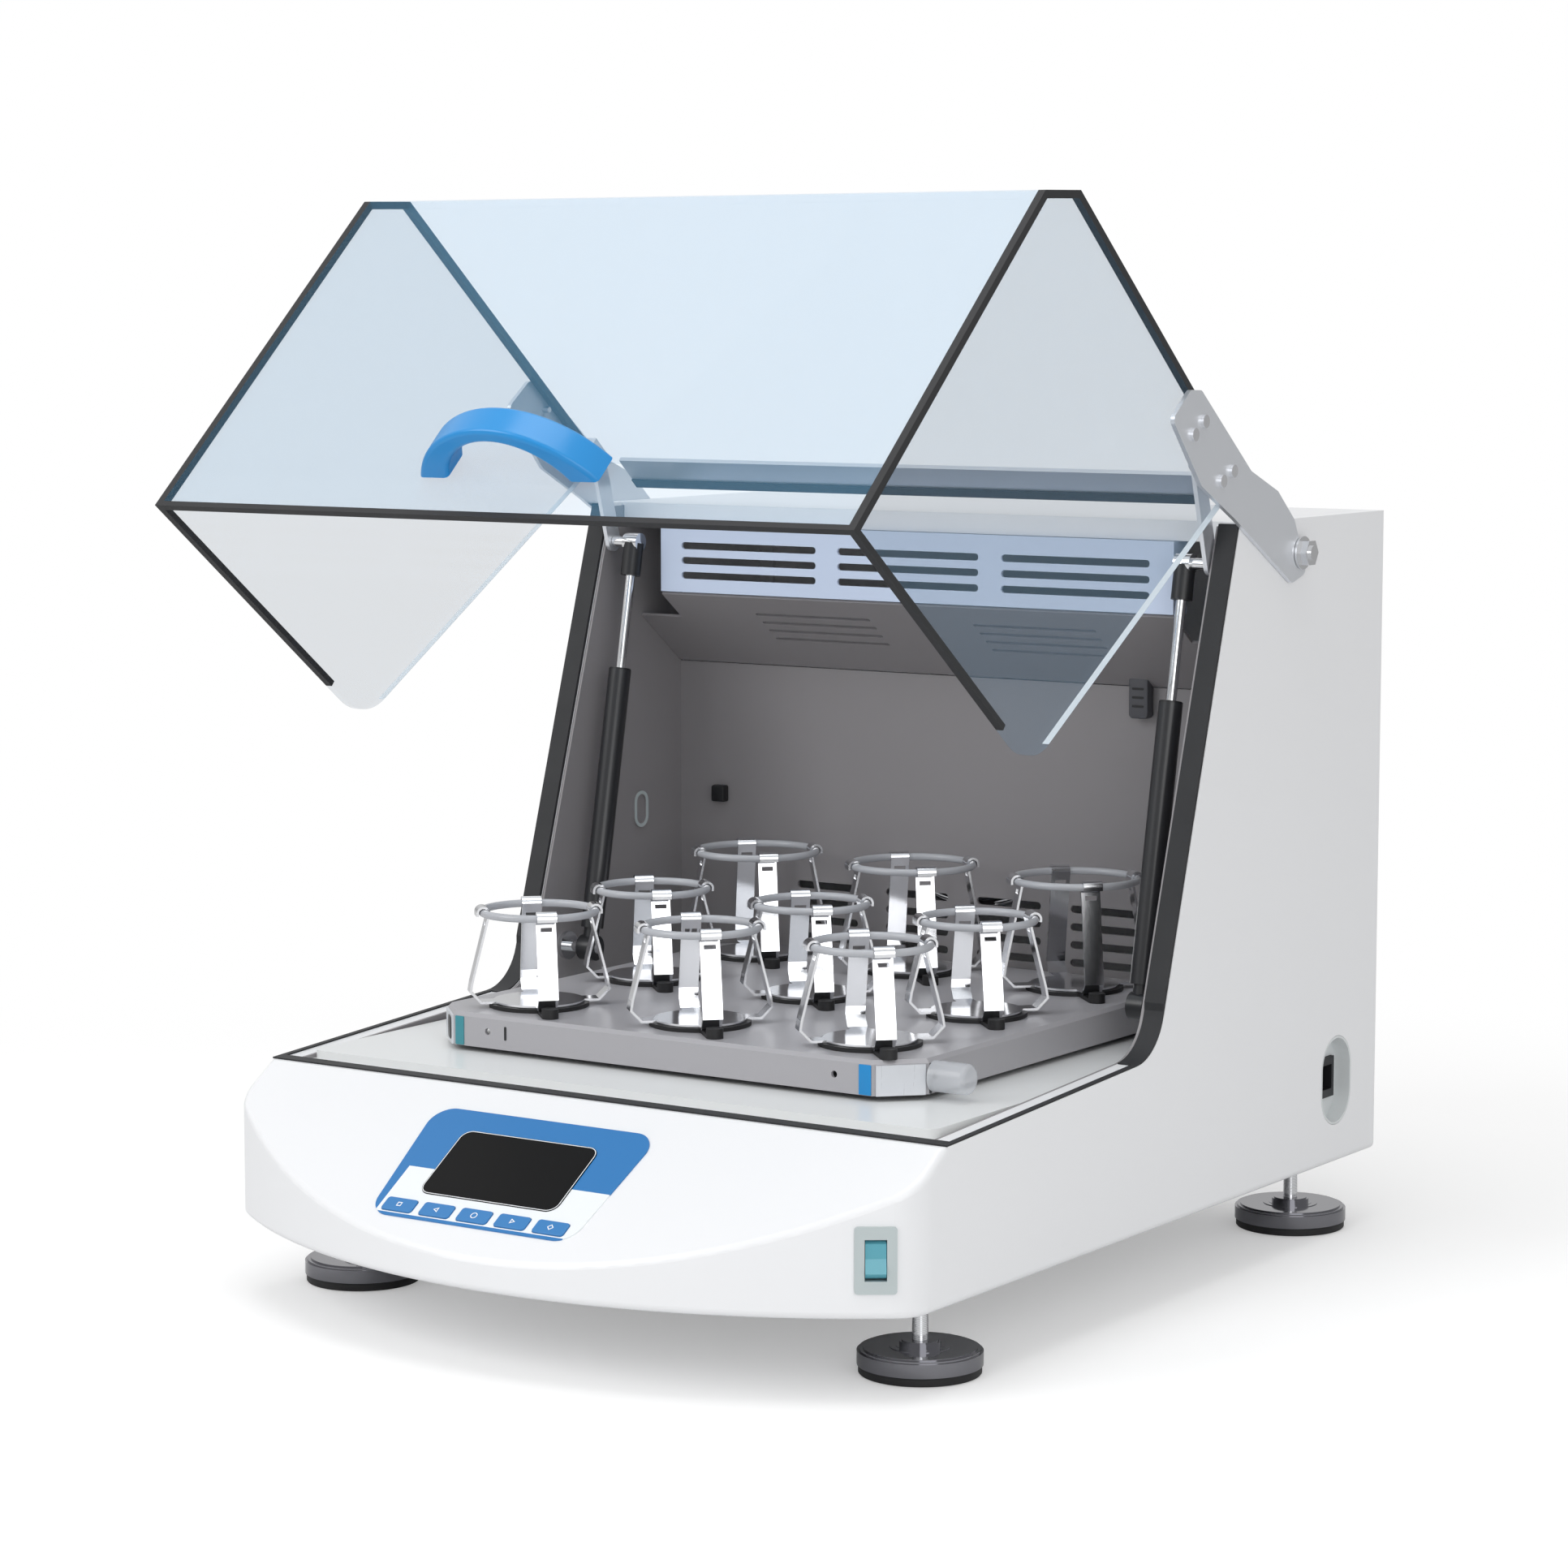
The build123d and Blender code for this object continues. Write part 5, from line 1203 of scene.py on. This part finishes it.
@dataclass
class Studio:
    """Camera, lights and floor."""

    place: tuple[float, float, float] = (1.5194, -2.2660, 0.6399)
    forward: tuple[float, float, float] = (-0.55471, 0.82413, -0.11451)
    right: tuple[float, float, float] = (0.82958, 0.55838, 0.0)
    lens_mm: float = 95.54
    sensor_mm: float = 36.0
    far_clip: float = 100.0
    lit_point: tuple[float, float, float] = (0.0, 0.0, 0.3)
    lamps: tuple[SoftLamp, ...] = (
        SoftLamp("key", (-1.6, -2.6, 2.2), 1.8, 36.0),
        SoftLamp("fill", (2.1, -1.9, 1.0), 1.6, 17.0),
        SoftLamp("top", (0.2, -0.4, 2.8), 1.6, 22.0),
    )
    ambient: float = 0.54
    horizon: float = 0.4
    horizon_rise: tuple[float, float] = (0.02, 0.42)
    near_floor: float = 0.55
    far_floor: float = 1.25
    floor_size: float = 30.0
    floor_drop: float = 0.0004
    floor_colour: tuple[float, float, float, float] = (0.82, 0.82, 0.82, 1)
    floor_glow: float = 0.28

    def build(self) -> None:
        """Sets up the view, the lamps, the world and the floor."""
        self.camera()
        self.hang_lamps()
        self.world()
        self.floor()
        bpy.context.scene.view_settings.view_transform = "Standard"

    def camera(self) -> None:
        """Puts the camera where the photograph was taken from."""
        data = bpy.data.cameras.new("camera")
        data.lens = self.lens_mm
        data.sensor_width = self.sensor_mm
        data.clip_end = self.far_clip
        camera = bpy.data.objects.new("camera", data)
        bpy.context.scene.collection.objects.link(camera)
        ahead = Vector(self.forward).normalized()
        side = Vector(self.right).normalized()
        turn = Matrix((side, side.cross(ahead), -ahead)).transposed().to_4x4()
        camera.matrix_world = Matrix.Translation(Vector(self.place)) @ turn
        bpy.context.scene.camera = camera

    def hang_lamps(self) -> None:
        """Hangs a key to the front left, a fill to the front right and a soft top light."""
        for lamp in self.lamps:
            lamp.hang(Vector(self.lit_point))

    def world(self) -> None:
        """A white surround for the eye, and a quieter light on the object."""
        world = bpy.data.worlds.new("studio")
        bpy.context.scene.world = world
        world.use_nodes = True
        tree = world.node_tree
        tree.nodes.clear()
        path = add_node(tree, "ShaderNodeLightPath")
        seen = add_node(
            tree,
            "ShaderNodeMath",
            links={0: path.outputs["Is Camera Ray"], 1: path.outputs["Is Transmission Ray"]},
            operation="ADD",
            use_clamp=True,
        )
        # Polished metal reflects a room that is darker towards the horizon, as in a studio.
        direction = add_node(tree, "ShaderNodeTexCoord")
        parts = add_node(
            tree, "ShaderNodeSeparateXYZ", links={"Vector": direction.outputs["Generated"]}
        )
        room = add_node(
            tree,
            "ShaderNodeMapRange",
            {
                "From Min": self.horizon_rise[0],
                "From Max": self.horizon_rise[1],
                "To Min": self.horizon,
                "To Max": 1.0,
            },
            {"Value": parts.outputs["Z"]},
        )
        reflected = add_node(
            tree,
            "ShaderNodeMix",
            {2: self.ambient},
            {0: path.outputs["Is Glossy Ray"], 3: room.outputs["Result"]},
        )
        strength = add_node(
            tree, "ShaderNodeMix", {3: 1.0}, {0: seen.outputs[0], 2: reflected.outputs[0]}
        )
        light = add_node(
            tree,
            "ShaderNodeBackground",
            {"Color": WHITE},
            {"Strength": strength.outputs[0]},
        )
        add_node(tree, "ShaderNodeOutputWorld", links={"Surface": light.outputs[0]})

    def floor(self) -> None:
        """A plain pale floor that keeps the shadow and is otherwise white to the eye."""
        ground = start_primitive(
            "studio_floor",
            lambda: bpy.ops.mesh.primitive_plane_add(
                size=self.floor_size, location=(0, 0, -self.floor_drop)
            ),
        )
        made = bpy.data.materials.new("studio_floor_paper")
        made.use_nodes = True
        tree = made.node_tree
        tree.nodes.clear()
        path = add_node(tree, "ShaderNodeLightPath")
        paper = add_node(tree, "ShaderNodeBsdfDiffuse", {"Color": self.floor_colour})
        glow = add_node(
            tree, "ShaderNodeEmission", {"Color": WHITE, "Strength": self.floor_glow}
        )
        lift = add_node(
            tree, "ShaderNodeAddShader", links={0: paper.outputs[0], 1: glow.outputs[0]}
        )
        place = add_node(tree, "ShaderNodeTexCoord")
        distance = add_node(
            tree, "ShaderNodeVectorMath", links={0: place.outputs["Object"]}, operation="LENGTH"
        )
        away = add_node(
            tree,
            "ShaderNodeMapRange",
            {"From Min": self.near_floor, "From Max": self.far_floor},
            {"Value": distance.outputs["Value"]},
            interpolation_type="SMOOTHSTEP",
        )
        white = add_node(tree, "ShaderNodeEmission", {"Color": WHITE, "Strength": 1.0})
        faded = add_node(
            tree,
            "ShaderNodeMixShader",
            links={0: away.outputs["Result"], 1: lift.outputs[0], 2: white.outputs[0]},
        )
        both = add_node(
            tree,
            "ShaderNodeMixShader",
            links={0: path.outputs["Is Camera Ray"], 1: paper.outputs[0], 2: faded.outputs[0]},
        )
        add_node(tree, "ShaderNodeOutputMaterial", links={"Surface": both.outputs[0]})
        ground.data.materials.append(made)


def dress_all(finishes: dict[str, Finish]) -> None:
    """Gives every plain CAD node its finish."""
    for node, finish in finishes.items():
        dress(node, finish)


def main() -> None:
    """Builds the looks around the frame."""
    logging.basicConfig(level=logging.INFO, format="%(name)s: %(message)s")
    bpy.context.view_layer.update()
    dress_all(NODE_FINISHES)
    parts = (
        Cabinet(),
        ControlPanel(),
        LidEdgeHighlights(),
        Struts(),
        Platform(),
        LevellingFoot(),
        Studio(),
    )
    for part in parts:
        part.build()
        LOG.info("%s done", type(part).__name__)


if __name__ == "__main__":
    main()
